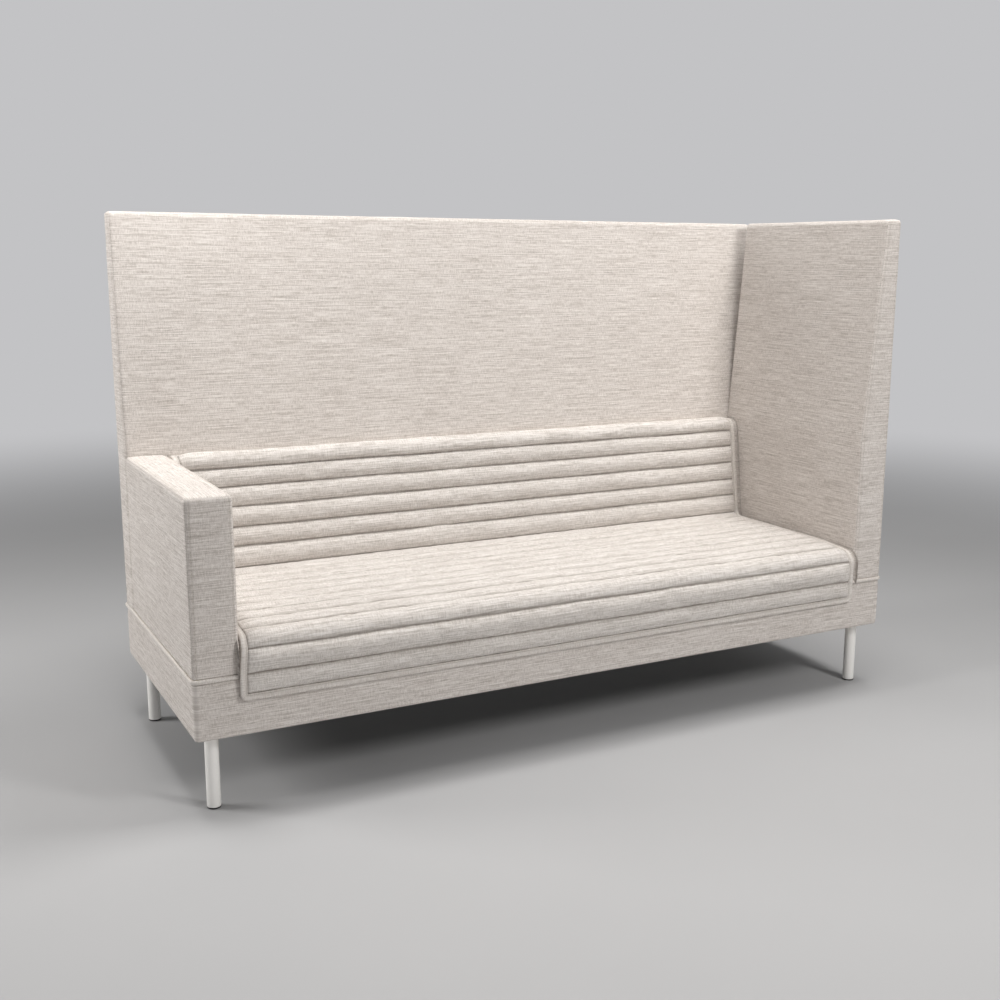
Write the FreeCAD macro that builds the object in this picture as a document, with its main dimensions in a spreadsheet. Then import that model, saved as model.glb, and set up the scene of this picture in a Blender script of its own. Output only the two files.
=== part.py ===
import FreeCAD, Part
import math
import os

import Sketcher
from FreeCAD import Placement, Rotation, Vector

# High back settee: a box base on four tube legs carries one low arm, one full-height wing and a
# full-height back. A seat block and a lean back cushion stand between them, and a loose quilted mat
# lies over both and hangs over the front of the base.
# Millimetres. +Z is up and the seat faces -Y, with the low arm at -X. The origin is on the floor
# under the middle of the whole settee.

SIZES = {
    # outside of the base and of the three upholstered panels that stand on it
    "settee_width": 2000,
    "frame_depth": 720,
    "leg_rise": 180,
    "base_rise": 145,
    "arm_rise": 405,
    "panel_rise": 1015,
    "panel_thickness": 100,
    "panel_top_thickness": 50,
    "panel_edge_radius": 10,
    "panel_knee_radius": 400,
    "foam_bevel": 6,
    # layers of upholstery and the timber inside the panels
    "cover_thickness": 1.5,
    "panel_padding": 10,
    "panel_board": 3,
    "panel_post": 45,
    "panel_rail": 40,
    # base box
    "base_padding": 8,
    "base_board": 22,
    "base_corner_radius": 12,
    "base_hem_bevel": 5,
    "base_hem_width": 30,
    "lip_rise": 10,
    "lip_depth": 10,
    "lip_crown": 2,
    "lip_proud": 2,
    "bearer_width": 90,
    "bearer_thickness": 18,
    "cross_rail_rise": 100,
    "cross_rail_pitch": 660,
    "corner_block_side": 60,
    "corner_block_rise": 80,
    "dust_cloth": 1,
    # legs
    "leg_radius": 16,
    "leg_wall": 2,
    "leg_cap": 6,
    "leg_inset_side": 48,
    "leg_inset_front": 56,
    "leg_inset_rear": 46,
    "glide_rise": 4,
    "glide_plug_rise": 12,
    "stud_radius": 5,
    "insert_radius": 8,
    "insert_rise": 25,
    # bolts that hold the panels down on the base
    "bolt_radius": 4,
    "bolt_head_radius": 7,
    "bolt_head_rise": 5,
    "tee_flange_radius": 10,
    "tee_flange_thickness": 1.5,
    "tee_barrel_radius": 5,
    "tee_barrel_rise": 12,
    "side_bolt_pitch": 360,
    "back_bolt_pitch": 700,
    # seat block and its webbing
    "strap_width": 60,
    "strap_thickness": 2,
    "strap_count": 12,
    "deck_cloth": 0.8,
    "seat_rise": 87,
    "seat_nose_radius": 30,
    "seat_fall_radius": 1500,
    "seat_fall_degrees": 5.9,
    # back cushion
    "cushion_rise": 386,
    "cushion_foot": 89,
    "cushion_lean_degrees": 8.4,
    "cushion_roll_radius": 20,
    # quilted mat
    "mat_lining": 1.2,
    "mat_seam_thickness": 8,
    "mat_crown_thickness": 17,
    "channel_pitch": 55.2,
    "mat_left_gap": 2,
    "mat_right_gap": 14,
    "mat_end_fall": 26,
    "mat_hem_drop": 63,
    "binding_width": 16,
    "binding_thickness": 10,
    "binding_bevel": 3,
    "binding_corner_radius": 14,
    # bare tab sewn into the side of the base
    "tab_width": 12,
    "tab_rise": 28,
    "tab_thickness": 1,
    "tab_setback": 22,
    "tab_drop": 14,
    # clearances
    "rest_gap": 0.3,
    "hang_gap": 0.5,
    "thread_gap": 0.05,
    "hole_gap": 0.5,
}

# Places worked out from the sizes: each is a formula of the second sheet.
PLACES = {
    "right": "Sizes.settee_width / 2",
    "mat_proud": "Sizes.lip_proud + Sizes.hang_gap + Sizes.mat_crown_thickness",
    "base_front": "(mat_proud - Sizes.frame_depth - Sizes.lip_proud) / 2",
    "base_rear": "base_front + Sizes.frame_depth",
    "base_top": "Sizes.leg_rise + Sizes.base_rise",
    "back_face": "base_rear - Sizes.panel_thickness",
    "side_run": "Sizes.frame_depth - Sizes.panel_thickness",
    "seat_half": "right - Sizes.panel_thickness",
    "rail_inset": "Sizes.cover_thickness + Sizes.base_padding",
    "bay_inset": "rail_inset + Sizes.base_board",
    "rail_foot": "Sizes.leg_rise + Sizes.cover_thickness",
    "rail_rise": "base_top - rail_foot",
    "cover_rise": "Sizes.base_rise - Sizes.lip_rise",
    "core_inset": "Sizes.cover_thickness + Sizes.panel_padding",
    "post_inset": "core_inset + Sizes.panel_board",
    "panel_slope": "(Sizes.panel_thickness - Sizes.panel_top_thickness)"
                   " / (Sizes.panel_rise - Sizes.arm_rise)",
    "panel_lean": "atan(panel_slope)",
    "knee_run": "Sizes.panel_knee_radius * tan(panel_lean / 2)",
    "seat_top": "base_top + Sizes.seat_rise",
    "cushion_top": "base_top + Sizes.cushion_rise",
    "deck_top": "base_top + Sizes.strap_thickness + Sizes.deck_cloth",
}

doc = FreeCAD.newDocument("high_back_settee")
nodes = []


def new_sheet(name, cells):
    """A spreadsheet with one named cell to a row."""
    sheet = doc.addObject("Spreadsheet::Sheet", name)
    for row, (alias, content) in enumerate(cells.items(), start=1):
        sheet.set(f"A{row}", alias)
        sheet.set(f"B{row}", content)
        sheet.setAlias(f"B{row}", alias)
    doc.recompute()
    return sheet


sizes = new_sheet("Sizes", {name: str(number) for name, number in SIZES.items()})
places = new_sheet("Places", {name: "=" + formula for name, formula in PLACES.items()})


def size(name):
    return float(getattr(sizes, name))


def place(name):
    return float(getattr(places, name))


def node(piece, name):
    """Keeps a piece as one of the settee's sub-parts, under the name of its file."""
    piece.Label = name
    nodes.append(piece)
    return piece


def put(piece, spot, turn=0):
    """Binds a piece's place to three formulas, after a turn in degrees about Z."""
    piece.Placement = Placement(Vector(), Rotation(Vector(0, 0, 1), turn))
    for axis, formula in zip("xyz", spot):
        piece.setExpression("Placement.Base." + axis, formula)
    return piece


def block(name, low, span):
    """A square-edged piece from its low corner and its X, Y and Z lengths."""
    box = doc.addObject("Part::Box", name)
    for side, formula in zip(("Length", "Width", "Height"), span):
        box.setExpression(side, formula)
    return put(box, low)


def bar(name, sides, foot, radius, rise):
    """An upright many-sided piece from the centre of its foot; its radius reaches the corners."""
    prism_piece = doc.addObject("Part::Prism", name)
    prism_piece.Polygon = sides
    prism_piece.setExpression("Circumradius", radius)
    prism_piece.setExpression("Height", rise)
    return put(prism_piece, foot)


def rod(name, foot, radius, rise):
    """An upright round piece from the centre of its foot."""
    cylinder = doc.addObject("Part::Cylinder", name)
    cylinder.setExpression("Radius", radius)
    cylinder.setExpression("Height", rise)
    return put(cylinder, foot)


def group(name, pieces):
    """Several separate solids as one shape."""
    compound = doc.addObject("Part::Compound", name)
    compound.Links = pieces
    return compound


def cut(name, piece, tool):
    result = doc.addObject("Part::Cut", name)
    result.Base = piece
    result.Tool = tool
    return result


def fuse(name, first, second):
    result = doc.addObject("Part::Fuse", name)
    result.Base = first
    result.Tool = second
    return result


def solid(name, shape):
    """A piece whose shape comes from a curve or a sweep that is worked out below."""
    piece = doc.addObject("Part::Feature", name)
    piece.Shape = shape
    return piece


# Sketched bodies

def origin_plane(body, role):
    return next(item for item in body.Origin.OriginFeatures if item.Role == role)


def sketch_on(body, role, name):
    sketch = body.newObject("Sketcher::SketchObject", f"{body.Name}_{name}")
    sketch.AttachmentSupport = (origin_plane(body, role), [""])
    sketch.MapMode = "FlatFace"
    return sketch


def outline_sketch(body, role, corners):
    """A closed outline whose corners are pairs of formulas, measured from the body's origin."""
    sketch = sketch_on(body, role, "outline")
    count = len(corners)
    ring = [Vector(math.cos(2 * math.pi * i / count), math.sin(2 * math.pi * i / count), 0)
            for i in range(count)]
    for i in range(count):
        sketch.addGeometry(Part.LineSegment(ring[i], ring[(i + 1) % count]))
    for i in range(count):
        sketch.addConstraint(Sketcher.Constraint("Coincident", i, 2, (i + 1) % count, 1))
    for i, corner in enumerate(corners):
        for direction, formula in zip(("DistanceX", "DistanceY"), corner):
            index = sketch.addConstraint(Sketcher.Constraint(direction, -1, 1, i, 1, 1.0))
            sketch.setExpression(f"Constraints[{index}]", formula)
    return sketch


def bow_side(sketch, index, radius_name):
    """Turns one straight of a solved outline into an arc that bows outwards over it."""
    doc.recompute()
    chord, radius = sketch.Geometry[index], size(radius_name)
    along = (chord.EndPoint - chord.StartPoint) / 2
    inwards = Vector(-along.y, along.x, 0).normalize()
    rise = math.sqrt(radius * radius - along.Length * along.Length)
    centre = chord.StartPoint + along + inwards * rise
    ends = [math.atan2(point.y - centre.y, point.x - centre.x)
            for point in (chord.StartPoint, chord.EndPoint)]
    circle = Part.Circle(centre, Vector(0, 0, 1), radius)
    arc = sketch.addGeometry(Part.ArcOfCircle(circle, *ends))
    sketch.toggleConstruction(index)
    for end in (1, 2):
        sketch.addConstraint(Sketcher.Constraint("Coincident", arc, end, index, end))
    dimension = sketch.addConstraint(Sketcher.Constraint("Radius", arc, radius))
    sketch.setExpression(f"Constraints[{dimension}]", "Sizes." + radius_name)


def prism(name, role, corners, length, centred=False, bowed=None):
    """A body padded from one outline: along Z from the XY plane, or along X from the YZ plane."""
    body = doc.addObject("PartDesign::Body", name)
    pad = body.newObject("PartDesign::Pad", name + "_pad")
    pad.Profile = outline_sketch(body, role, corners)
    if bowed:
        bow_side(pad.Profile[0], *bowed)
    pad.setExpression("Length", length)
    if centred:
        pad.SideType = "Symmetric"
    doc.recompute()
    return body


def ease_edges(body, kind, size_property, wanted, formula):
    """Fillets or chamfers the edges of the body's last feature that the wanted test picks."""
    base = body.Tip
    edges = [f"Edge{i}" for i, edge in enumerate(base.Shape.Edges, start=1) if wanted(edge)]
    eased = body.newObject("PartDesign::" + kind, f"{base.Name}_{kind}")
    eased.Base = (base, edges)
    eased.setExpression(size_property, formula)
    doc.recompute()


def round_edges(body, wanted, radius):
    ease_edges(body, "Fillet", "Radius", wanted, radius)


def bevel_edges(body, wanted, width):
    ease_edges(body, "Chamfer", "Size", wanted, width)


def turned(name, profile, spot):
    """A body turned about its own Z axis from pairs of radius and height."""
    body = doc.addObject("PartDesign::Body", name)
    sketch = outline_sketch(body, "XZ_Plane", profile)
    turn = body.newObject("PartDesign::Revolution", name + "_turn")
    turn.Profile = sketch
    turn.ReferenceAxis = (sketch, ["V_Axis"])
    return put(body, spot)


def is_upright(edge):
    return edge.BoundBox.ZLength > 1


def is_at_foot(edge):
    return edge.BoundBox.ZMax < 1


# Base box

BASE_MIDDLE = "Places.base_front + Sizes.frame_depth / 2"
CORNERS = {"front_left": (-1, -1), "front_right": (1, -1), "rear_left": (-1, 1),
           "rear_right": (1, 1)}
LEGS = {
    corner: (f"{side} * (Places.right - Sizes.leg_inset_side)",
             "Places.base_front + Sizes.leg_inset_front" if end < 0
             else "Places.base_rear - Sizes.leg_inset_rear")
    for corner, (side, end) in CORNERS.items()
}


def base_rails():
    """Boards on edge round the base, with two lower ones across the middle."""
    long_run = "Sizes.settee_width - 2 * Places.rail_inset"
    short_run = "Sizes.frame_depth - 2 * Places.bay_inset"
    left = "Places.rail_inset - Places.right"
    inner_front = "Places.base_front + Places.bay_inset"
    boards = {
        "front": ((left, "Places.base_front + Places.rail_inset"),
                  (long_run, "Sizes.base_board")),
        "rear": ((left, "Places.base_rear - Places.bay_inset"), (long_run, "Sizes.base_board")),
        "left": ((left, inner_front), ("Sizes.base_board", short_run)),
        "right": (("Places.right - Places.bay_inset", inner_front),
                  ("Sizes.base_board", short_run)),
    }
    for side, (low, span) in boards.items():
        board = block(f"{side}_board", (*low, "Places.rail_foot"), (*span, "Places.rail_rise"))
        node(board, f"base_{side}_rail")
    crossings = [block("crossing", (f"{sign} * Sizes.cross_rail_pitch / 2 - Sizes.base_board / 2",
                                    inner_front, "Places.rail_foot"),
                       ("Sizes.base_board", short_run, "Sizes.cross_rail_rise"))
                 for sign in (-1, 1)]
    node(group("crossings", crossings), "base_cross_rails")


def base_corner_blocks():
    """A block in each inner corner, bored from below for the insert that takes the leg."""
    side = "Sizes.corner_block_side"
    blocks = []
    for corner, (x, y) in CORNERS.items():
        low = (f"{x} * (Places.right - Places.bay_inset - {side} / 2) - {side} / 2",
               f"{BASE_MIDDLE} + {y} * (Sizes.frame_depth / 2 - Places.bay_inset - {side} / 2)"
               f" - {side} / 2", "Places.rail_foot")
        wood = block("wood_block", low, (side, side, "Sizes.corner_block_rise"))
        bore = rod("block_bore", (*LEGS[corner], "Places.rail_foot"),
                   "Sizes.insert_radius + Sizes.thread_gap", "Sizes.insert_rise + Sizes.hang_gap")
        blocks.append(cut("bored_block", wood, bore))
    node(group("bored_blocks", blocks), "base_corner_blocks")


def base_bearers():
    """Flat boards inside the top of the rails, which the panels are bolted down on."""
    low_z = "Places.base_top - Sizes.bearer_thickness"
    inset = "(Places.bay_inset + Sizes.bearer_width)"
    front = "Places.base_front + Places.bay_inset"
    side_span = ("Sizes.bearer_width", "Sizes.frame_depth - 2 * Places.bay_inset")
    boards = {
        "arm": (("Places.bay_inset - Places.right", front), side_span),
        "wing": ((f"Places.right - {inset}", front), side_span),
        "back": ((f"{inset} - Places.right", f"Places.base_rear - {inset}"),
                 (f"Sizes.settee_width - 2 * {inset}", "Sizes.bearer_width")),
    }
    for name, (low, span) in boards.items():
        board = block(f"{name}_flat", (*low, low_z), (*span, "Sizes.bearer_thickness"))
        bored = cut(f"{name}_bored_flat", board, bolt_holes(name, "Sizes.bolt_radius"))
        node(bored, f"base_{name}_bearer")


def base_padding():
    """A foam slab on the outer face of each rail."""
    foot = "Places.rail_foot + Sizes.base_hem_bevel"
    rise = "Places.cover_rise - Sizes.cover_thickness - Sizes.base_hem_bevel"
    long_run = "Sizes.settee_width - 2 * Sizes.base_corner_radius"
    short_run = "Sizes.frame_depth - 2 * Sizes.base_corner_radius"
    long_low = "Sizes.base_corner_radius - Places.right"
    short_low = "Places.base_front + Sizes.base_corner_radius"
    slabs = {
        "front": ((long_low, "Places.base_front + Sizes.cover_thickness"),
                  (long_run, "Sizes.base_padding")),
        "rear": ((long_low, "Places.base_rear - Places.rail_inset"),
                 (long_run, "Sizes.base_padding")),
        "left": (("Sizes.cover_thickness - Places.right", short_low),
                 ("Sizes.base_padding", short_run)),
        "right": (("Places.right - Places.rail_inset", short_low),
                  ("Sizes.base_padding", short_run)),
    }
    for side, (low, span) in slabs.items():
        node(block(f"{side}_slab", (*low, foot), (*span, rise)), f"base_{side}_padding")


def base_outline(name, inset):
    """The box that the base's cover fills outside, or leaves inside when set in by its wall."""
    corners = [(f"{x} * (Places.right - {inset})", f"{y} * (Sizes.frame_depth / 2 - {inset})")
               for x, y in ((-1, -1), (1, -1), (1, 1), (-1, 1))]
    body = prism(name, "XY_Plane", corners, f"Places.cover_rise - {inset}")
    return put(body, ("0", BASE_MIDDLE, f"Sizes.leg_rise + {inset}"))


def base_cover():
    """The sewn skirt round the base, open above and turned under by a hem below."""
    outside = base_outline("skirt_outside", "0")
    round_edges(outside, is_upright, "Sizes.base_corner_radius")
    inside = base_outline("skirt_inside", "Sizes.cover_thickness")
    bevel_edges(inside, is_upright, "Sizes.foam_bevel")
    for body in (outside, inside):
        bevel_edges(body, is_at_foot, "Sizes.base_hem_bevel")
    hem = "Sizes.base_hem_width"
    opening = block("skirt_opening",
                    (f"{hem} - Places.right", f"Places.base_front + {hem}", "0"),
                    (f"Sizes.settee_width - 2 * {hem}", f"Sizes.frame_depth - 2 * {hem}",
                     "Places.base_top"))
    node(cut("open_skirt", cut("skirt", outside, inside), opening), "base_cover")


def base_lip():
    """A padded roll in its own strip of cover, swept round the base's top edge."""
    proud, crown, rise = size("lip_proud"), size("lip_crown"), size("lip_rise")
    bend = size("base_corner_radius")
    half_x, half_y = place("right") - bend, size("frame_depth") / 2 - bend
    middle_y = place("base_front") + size("frame_depth") / 2
    top = place("base_top")
    path = []
    for quarter, (side, end) in enumerate(((1, 1), (-1, 1), (-1, -1), (1, -1))):
        centre = Vector(side * half_x, middle_y + end * half_y, top)
        turns = [math.radians(90 * quarter + part) for part in (0, 45, 90)]
        corner = Part.Arc(*(centre + Vector(math.cos(turn), math.sin(turn), 0) * bend
                            for turn in turns))
        if path:
            path.append(Part.LineSegment(path[-1].EndPoint, corner.StartPoint))
        path.append(corner)
    path.append(Part.LineSegment(path[-1].EndPoint, path[0].StartPoint))
    start = path[0].StartPoint
    inner, outer = proud - size("lip_depth"), proud - crown
    front = Part.Arc(*(start + Vector(out, 0, down)
                       for out, down in ((outer, 0), (proud, -rise / 2), (outer, -rise))))
    corners = [front.EndPoint, start + Vector(inner, 0, -rise), start + Vector(inner, 0, 0),
               front.StartPoint]
    section = Part.Wire([front.toShape()] + [Part.makeLine(*pair)
                                             for pair in zip(corners, corners[1:])])
    route = Part.Wire([piece.toShape() for piece in path])
    node(solid("lip", route.makePipeShell([section], True, False)), "base_top_lip")


def dust_cover():
    """Thin cloth that closes the base underneath, notched square round each corner block."""
    hem = "Sizes.base_hem_width"
    foot = "Places.rail_foot - Sizes.dust_cloth"
    cloth = block("dust_cloth", (f"{hem} - Places.right", f"Places.base_front + {hem}", foot),
                  (f"Sizes.settee_width - 2 * {hem}", f"Sizes.frame_depth - 2 * {hem}",
                   "Sizes.dust_cloth"))
    side = "(Places.bay_inset + Sizes.corner_block_side)"
    notches = [block("notch", (f"{x} * (Places.right - {side} / 2) - {side} / 2",
                               f"{BASE_MIDDLE} + {y} * (Sizes.frame_depth / 2 - {side} / 2)"
                               f" - {side} / 2", foot), (side, side, "Sizes.dust_cloth"))
               for x, y in CORNERS.values()]
    node(cut("cut_dust_cloth", cloth, group("notches", notches)), "dust_cover")


def label_tab():
    """A bare folded tab caught in the side of the skirt, near the front."""
    node(block("tab", ("Places.right", "Places.base_front + Sizes.tab_setback",
                       "Places.base_top - Sizes.tab_drop - Sizes.tab_rise"),
               ("Sizes.tab_thickness", "Sizes.tab_width", "Sizes.tab_rise")), "label_tab")


# Legs

def tube_leg(corner, spot):
    """A tube that is open below and closed above by a thick cap with a stud welded on."""
    outer, bore, stud = "Sizes.leg_radius", "Sizes.leg_radius - Sizes.leg_wall", "Sizes.stud_radius"
    top = "Places.rail_foot - Sizes.glide_rise"
    tip = f"{top} + Sizes.insert_rise"
    profile = [("0", f"{top} - Sizes.leg_cap"), (bore, f"{top} - Sizes.leg_cap"), (bore, "0"),
               (outer, "0"), (outer, top), (stud, top), (stud, tip), ("0", tip)]
    node(turned(f"{corner}_tube", profile, (*spot, "Sizes.glide_rise")), f"leg_{corner}")


def leg_glide(spot):
    """A plastic glide: a thin foot and a plug that fills the tube's end."""
    foot, plug = "Sizes.leg_radius", "Sizes.leg_radius - Sizes.leg_wall"
    top = "Sizes.glide_rise + Sizes.glide_plug_rise"
    profile = [("0", "0"), (foot, "0"), (foot, "Sizes.glide_rise"), (plug, "Sizes.glide_rise"),
               (plug, top), ("0", top)]
    return turned("glide", profile, (*spot, "0"))


def legs():
    """Each leg, with its glide below and the threaded insert for its stud above."""
    glides, inserts = [], []
    for corner, spot in LEGS.items():
        tube_leg(corner, spot)
        glides.append(leg_glide(spot))
        foot = (*spot, "Places.rail_foot")
        sleeve = rod("sleeve", foot, "Sizes.insert_radius", "Sizes.insert_rise")
        thread = rod("thread", foot, "Sizes.stud_radius + Sizes.thread_gap", "Sizes.insert_rise")
        inserts.append(cut("insert", sleeve, thread))
    node(group("glides", glides), "leg_glides")
    node(group("inserts", inserts), "leg_insert_nuts")


# Upholstered panels. Each is drawn along its own X axis, centred, with Y running inwards from its
# outer face and Z up from the top of the base, and is then turned and put in place.

PANELS = {
    "arm": {"run": "Places.side_run", "rise": "Sizes.arm_rise", "turn": -90,
            "spot": ("-Places.right", "Places.base_front + Places.side_run / 2"),
            "bolt_pitch": "Sizes.side_bolt_pitch", "bolts": (-0.5, 0.5), "studs": (0,),
            "joined_end": -1},
    "wing": {"run": "Places.side_run", "rise": "Sizes.panel_rise", "turn": 90,
             "spot": ("Places.right", "Places.base_front + Places.side_run / 2"),
             "bolt_pitch": "Sizes.side_bolt_pitch", "bolts": (-0.5, 0.5), "studs": (0,),
             "joined_end": 1},
    "back": {"run": "Sizes.settee_width", "rise": "Sizes.panel_rise", "turn": 180,
             "spot": ("0", "Places.base_rear"),
             "bolt_pitch": "Sizes.back_bolt_pitch", "bolts": (-1, 0, 1), "studs": (-0.5, 0.5),
             "joined_end": 0},
}


def is_tall(name):
    return PANELS[name]["rise"] == "Sizes.panel_rise"


def in_panel(name, run, inward, up):
    """The settee's own formulas for a spot that is given in a panel's frame."""
    panel = PANELS[name]
    cosine = round(math.cos(math.radians(panel["turn"])))
    sine = round(math.sin(math.radians(panel["turn"])))
    x, y = panel["spot"]
    return (f"{x} + ({run}) * {cosine} - ({inward}) * {sine}",
            f"{y} + ({run}) * {sine} + ({inward}) * {cosine}",
            f"Places.base_top + {up}")


def thickness_at(name, height):
    """A panel's thickness at a height: above the arm, a tall panel's inner face leans outwards."""
    if not is_tall(name):
        return "Sizes.panel_thickness"
    return f"(Sizes.panel_top_thickness + Places.panel_slope * (Sizes.panel_rise - {height}))"


def end_view(name, inset, foot="0", head=None, soft_knee=False):
    """A panel's outline from its end, set in from both faces and cut off at two heights."""
    head = head or f"({PANELS[name]['rise']} - {inset})"
    full = f"Sizes.panel_thickness - {inset}"
    low = [(inset, foot), (full if foot == "0" else f"{thickness_at(name, foot)} - {inset}", foot)]
    knee = []
    if soft_knee:
        knee = [(full, "Sizes.arm_rise - Places.knee_run"),
                (f"{full} - Places.knee_run * sin(Places.panel_lean)",
                 "Sizes.arm_rise + Places.knee_run * cos(Places.panel_lean)")]
    elif is_tall(name) and foot == "0":
        knee = [(full, "Sizes.arm_rise")]
    return low + knee + [(f"{thickness_at(name, head)} - {inset}", head), (inset, head)]


def panel_prism(name, piece, corners, length, run="0", bowed=None):
    """A padded outline at one spot along a panel."""
    body = prism(f"{name}_{piece}", "YZ_Plane", corners, length, True, bowed)
    return put(body, in_panel(name, run, "0", "0"), PANELS[name]["turn"])


def panel_block(name, piece, run, inward, up, span):
    """A square-edged piece in a panel's frame, centred on a spot along its run."""
    box = block(f"{name}_{piece}", ("0", "0", "0"), span)
    return put(box, in_panel(name, f"{run} - {span[0]} / 2", inward, up), PANELS[name]["turn"])


def panel_rods(name, piece, foot, radius, rise, sides=0):
    """One round or many-sided piece at each of a panel's bolts."""
    panel = PANELS[name]
    pieces = []
    for step in panel["bolts"]:
        spot = in_panel(name, f"{step} * {panel['bolt_pitch']}", "Sizes.panel_thickness / 2", foot)
        pieces.append(bar(f"{name}_{piece}", sides, spot, radius, rise) if sides
                      else rod(f"{name}_{piece}", spot, radius, rise))
    return pieces


def bolt_holes(name, radius):
    """Round cutters through a panel's bearer and its bottom rail."""
    rods = panel_rods(name, "hole", "(0 - Sizes.bearer_thickness)",
                      f"{radius} + Sizes.thread_gap", "Sizes.bearer_thickness + Sizes.panel_rail")
    return group(f"{name}_holes", rods)


def panel_frame(name):
    """End posts, rails between them, studs between the rails and thin boards on both faces."""
    inset = "Places.post_inset"
    full = f"(Sizes.panel_thickness - 2 * {inset})"
    run = f"({PANELS[name]['run']} - 2 * Places.core_inset)"
    head = f"({PANELS[name]['rise']} - Places.core_inset)"
    top_foot = f"({head} - Sizes.panel_rail)"
    post_spot = f"({run} - Sizes.panel_post) / 2"
    posts = [panel_prism(name, "post", end_view(name, inset, head=head), "Sizes.panel_post",
                         f"{sign} * {post_spot}") for sign in (-1, 1)]
    low_head = "(Sizes.arm_rise - Sizes.panel_rail)" if is_tall(name) else top_foot
    for step in PANELS[name]["studs"]:
        spot = f"{step} * Sizes.cross_rail_pitch"
        posts.append(panel_block(name, "low_stud", spot, inset, "Sizes.panel_rail",
                                 ("Sizes.panel_post", full, f"{low_head} - Sizes.panel_rail")))
        if is_tall(name):
            view = end_view(name, inset, "Sizes.arm_rise", top_foot)
            posts.append(panel_prism(name, "high_stud", view, "Sizes.panel_post", spot))
    node(group(f"{name}_post_group", posts), f"{name}_posts")

    rail_run = f"({run} - 2 * Sizes.panel_post)"
    bottom = panel_block(name, "bottom_rail", "0", inset, "0", (rail_run, full, "Sizes.panel_rail"))
    rails = [cut(f"{name}_bored_rail", bottom, bolt_holes(name, "Sizes.tee_barrel_radius")),
             panel_prism(name, "top_rail", end_view(name, inset, top_foot, head), rail_run)]
    if is_tall(name):
        rails.append(panel_block(name, "knee_rail", "0", inset, low_head,
                                 (rail_run, full, "Sizes.panel_rail")))
    node(group(f"{name}_rail_group", rails), f"{name}_rails")

    outer = panel_block(name, "outer_board", "0", "Places.core_inset", "0",
                        (run, "Sizes.panel_board", head))
    strip = (end_view(name, "Places.core_inset", head=head)[1:-1]
             + end_view(name, inset, head=head)[-2:0:-1])
    inner = panel_prism(name, "inner_board", strip, run)
    node(group(f"{name}_board_group", [outer, inner]), f"{name}_boards")


def eased_edges(body, joined_end=0):
    """A test for a panel's upright and top edges, except at an end that meets the back."""
    top = body.Tip.Shape.BoundBox.ZMax
    return lambda edge: ((is_upright(edge) or edge.BoundBox.ZMax > top - 1)
                         and edge.BoundBox.Center.x * joined_end < 1)


def panel_upholstery(name):
    """The sewn cover and the foam wrap inside it, both open underneath."""
    run = PANELS[name]["run"]
    skin = "Sizes.cover_thickness"
    view = end_view(name, "0", soft_knee=is_tall(name))
    knee = (2, "panel_knee_radius") if is_tall(name) else None
    outside = panel_prism(name, "outside", view, run, bowed=knee)
    round_edges(outside, eased_edges(outside, PANELS[name]["joined_end"]),
                "Sizes.panel_edge_radius")
    foam = panel_prism(name, "foam", end_view(name, skin), f"{run} - 2 * {skin}")
    bevel_edges(foam, eased_edges(foam), "Sizes.foam_bevel")
    core = panel_prism(name, "core", end_view(name, "Places.core_inset"),
                       f"{run} - 2 * Places.core_inset")
    node(cut(f"{name}_sleeve", outside, foam), f"{name}_cover")
    node(cut(f"{name}_wrap", foam, core), f"{name}_padding")


def panel_bolts(name):
    """Bolts that go up through a bearer into the panel's bottom rail."""
    head_foot = "(0 - Sizes.bearer_thickness - Sizes.bolt_head_rise)"
    shanks = panel_rods(name, "shank", f"{head_foot} + Sizes.bolt_head_rise", "Sizes.bolt_radius",
                        "Sizes.bearer_thickness + Sizes.panel_rail + Sizes.tee_flange_thickness")
    heads = panel_rods(name, "head", head_foot, "Sizes.bolt_head_radius", "Sizes.bolt_head_rise", 6)
    bolts = [fuse(f"{name}_bolt", head, shank) for head, shank in zip(heads, shanks)]
    node(group(f"{name}_bolt_group", bolts), f"{name}_bolts")


def tee_nuts():
    """A nut for each bolt: a flat flange on the bottom rail and a barrel down into it."""
    barrel_foot = "(Sizes.panel_rail - Sizes.tee_barrel_rise)"
    rise = "Sizes.tee_barrel_rise + Sizes.tee_flange_thickness"
    nuts = []
    for name in PANELS:
        flanges = panel_rods(name, "flange", "Sizes.panel_rail", "Sizes.tee_flange_radius",
                             "Sizes.tee_flange_thickness", 8)
        barrels = panel_rods(name, "barrel", barrel_foot, "Sizes.tee_barrel_radius", rise)
        threads = panel_rods(name, "thread", barrel_foot, "Sizes.bolt_radius + Sizes.thread_gap",
                             rise)
        nuts += [cut(f"{name}_nut", fuse(f"{name}_blank", flange, barrel), thread)
                 for flange, barrel, thread in zip(flanges, barrels, threads)]
    node(group("nuts", nuts), "tee_nuts")


# Seat, back cushion and mat, all drawn from one line seen from the side: forwards over the back
# cushion, down its leaning front, along the seat, round its nose and down.

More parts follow.
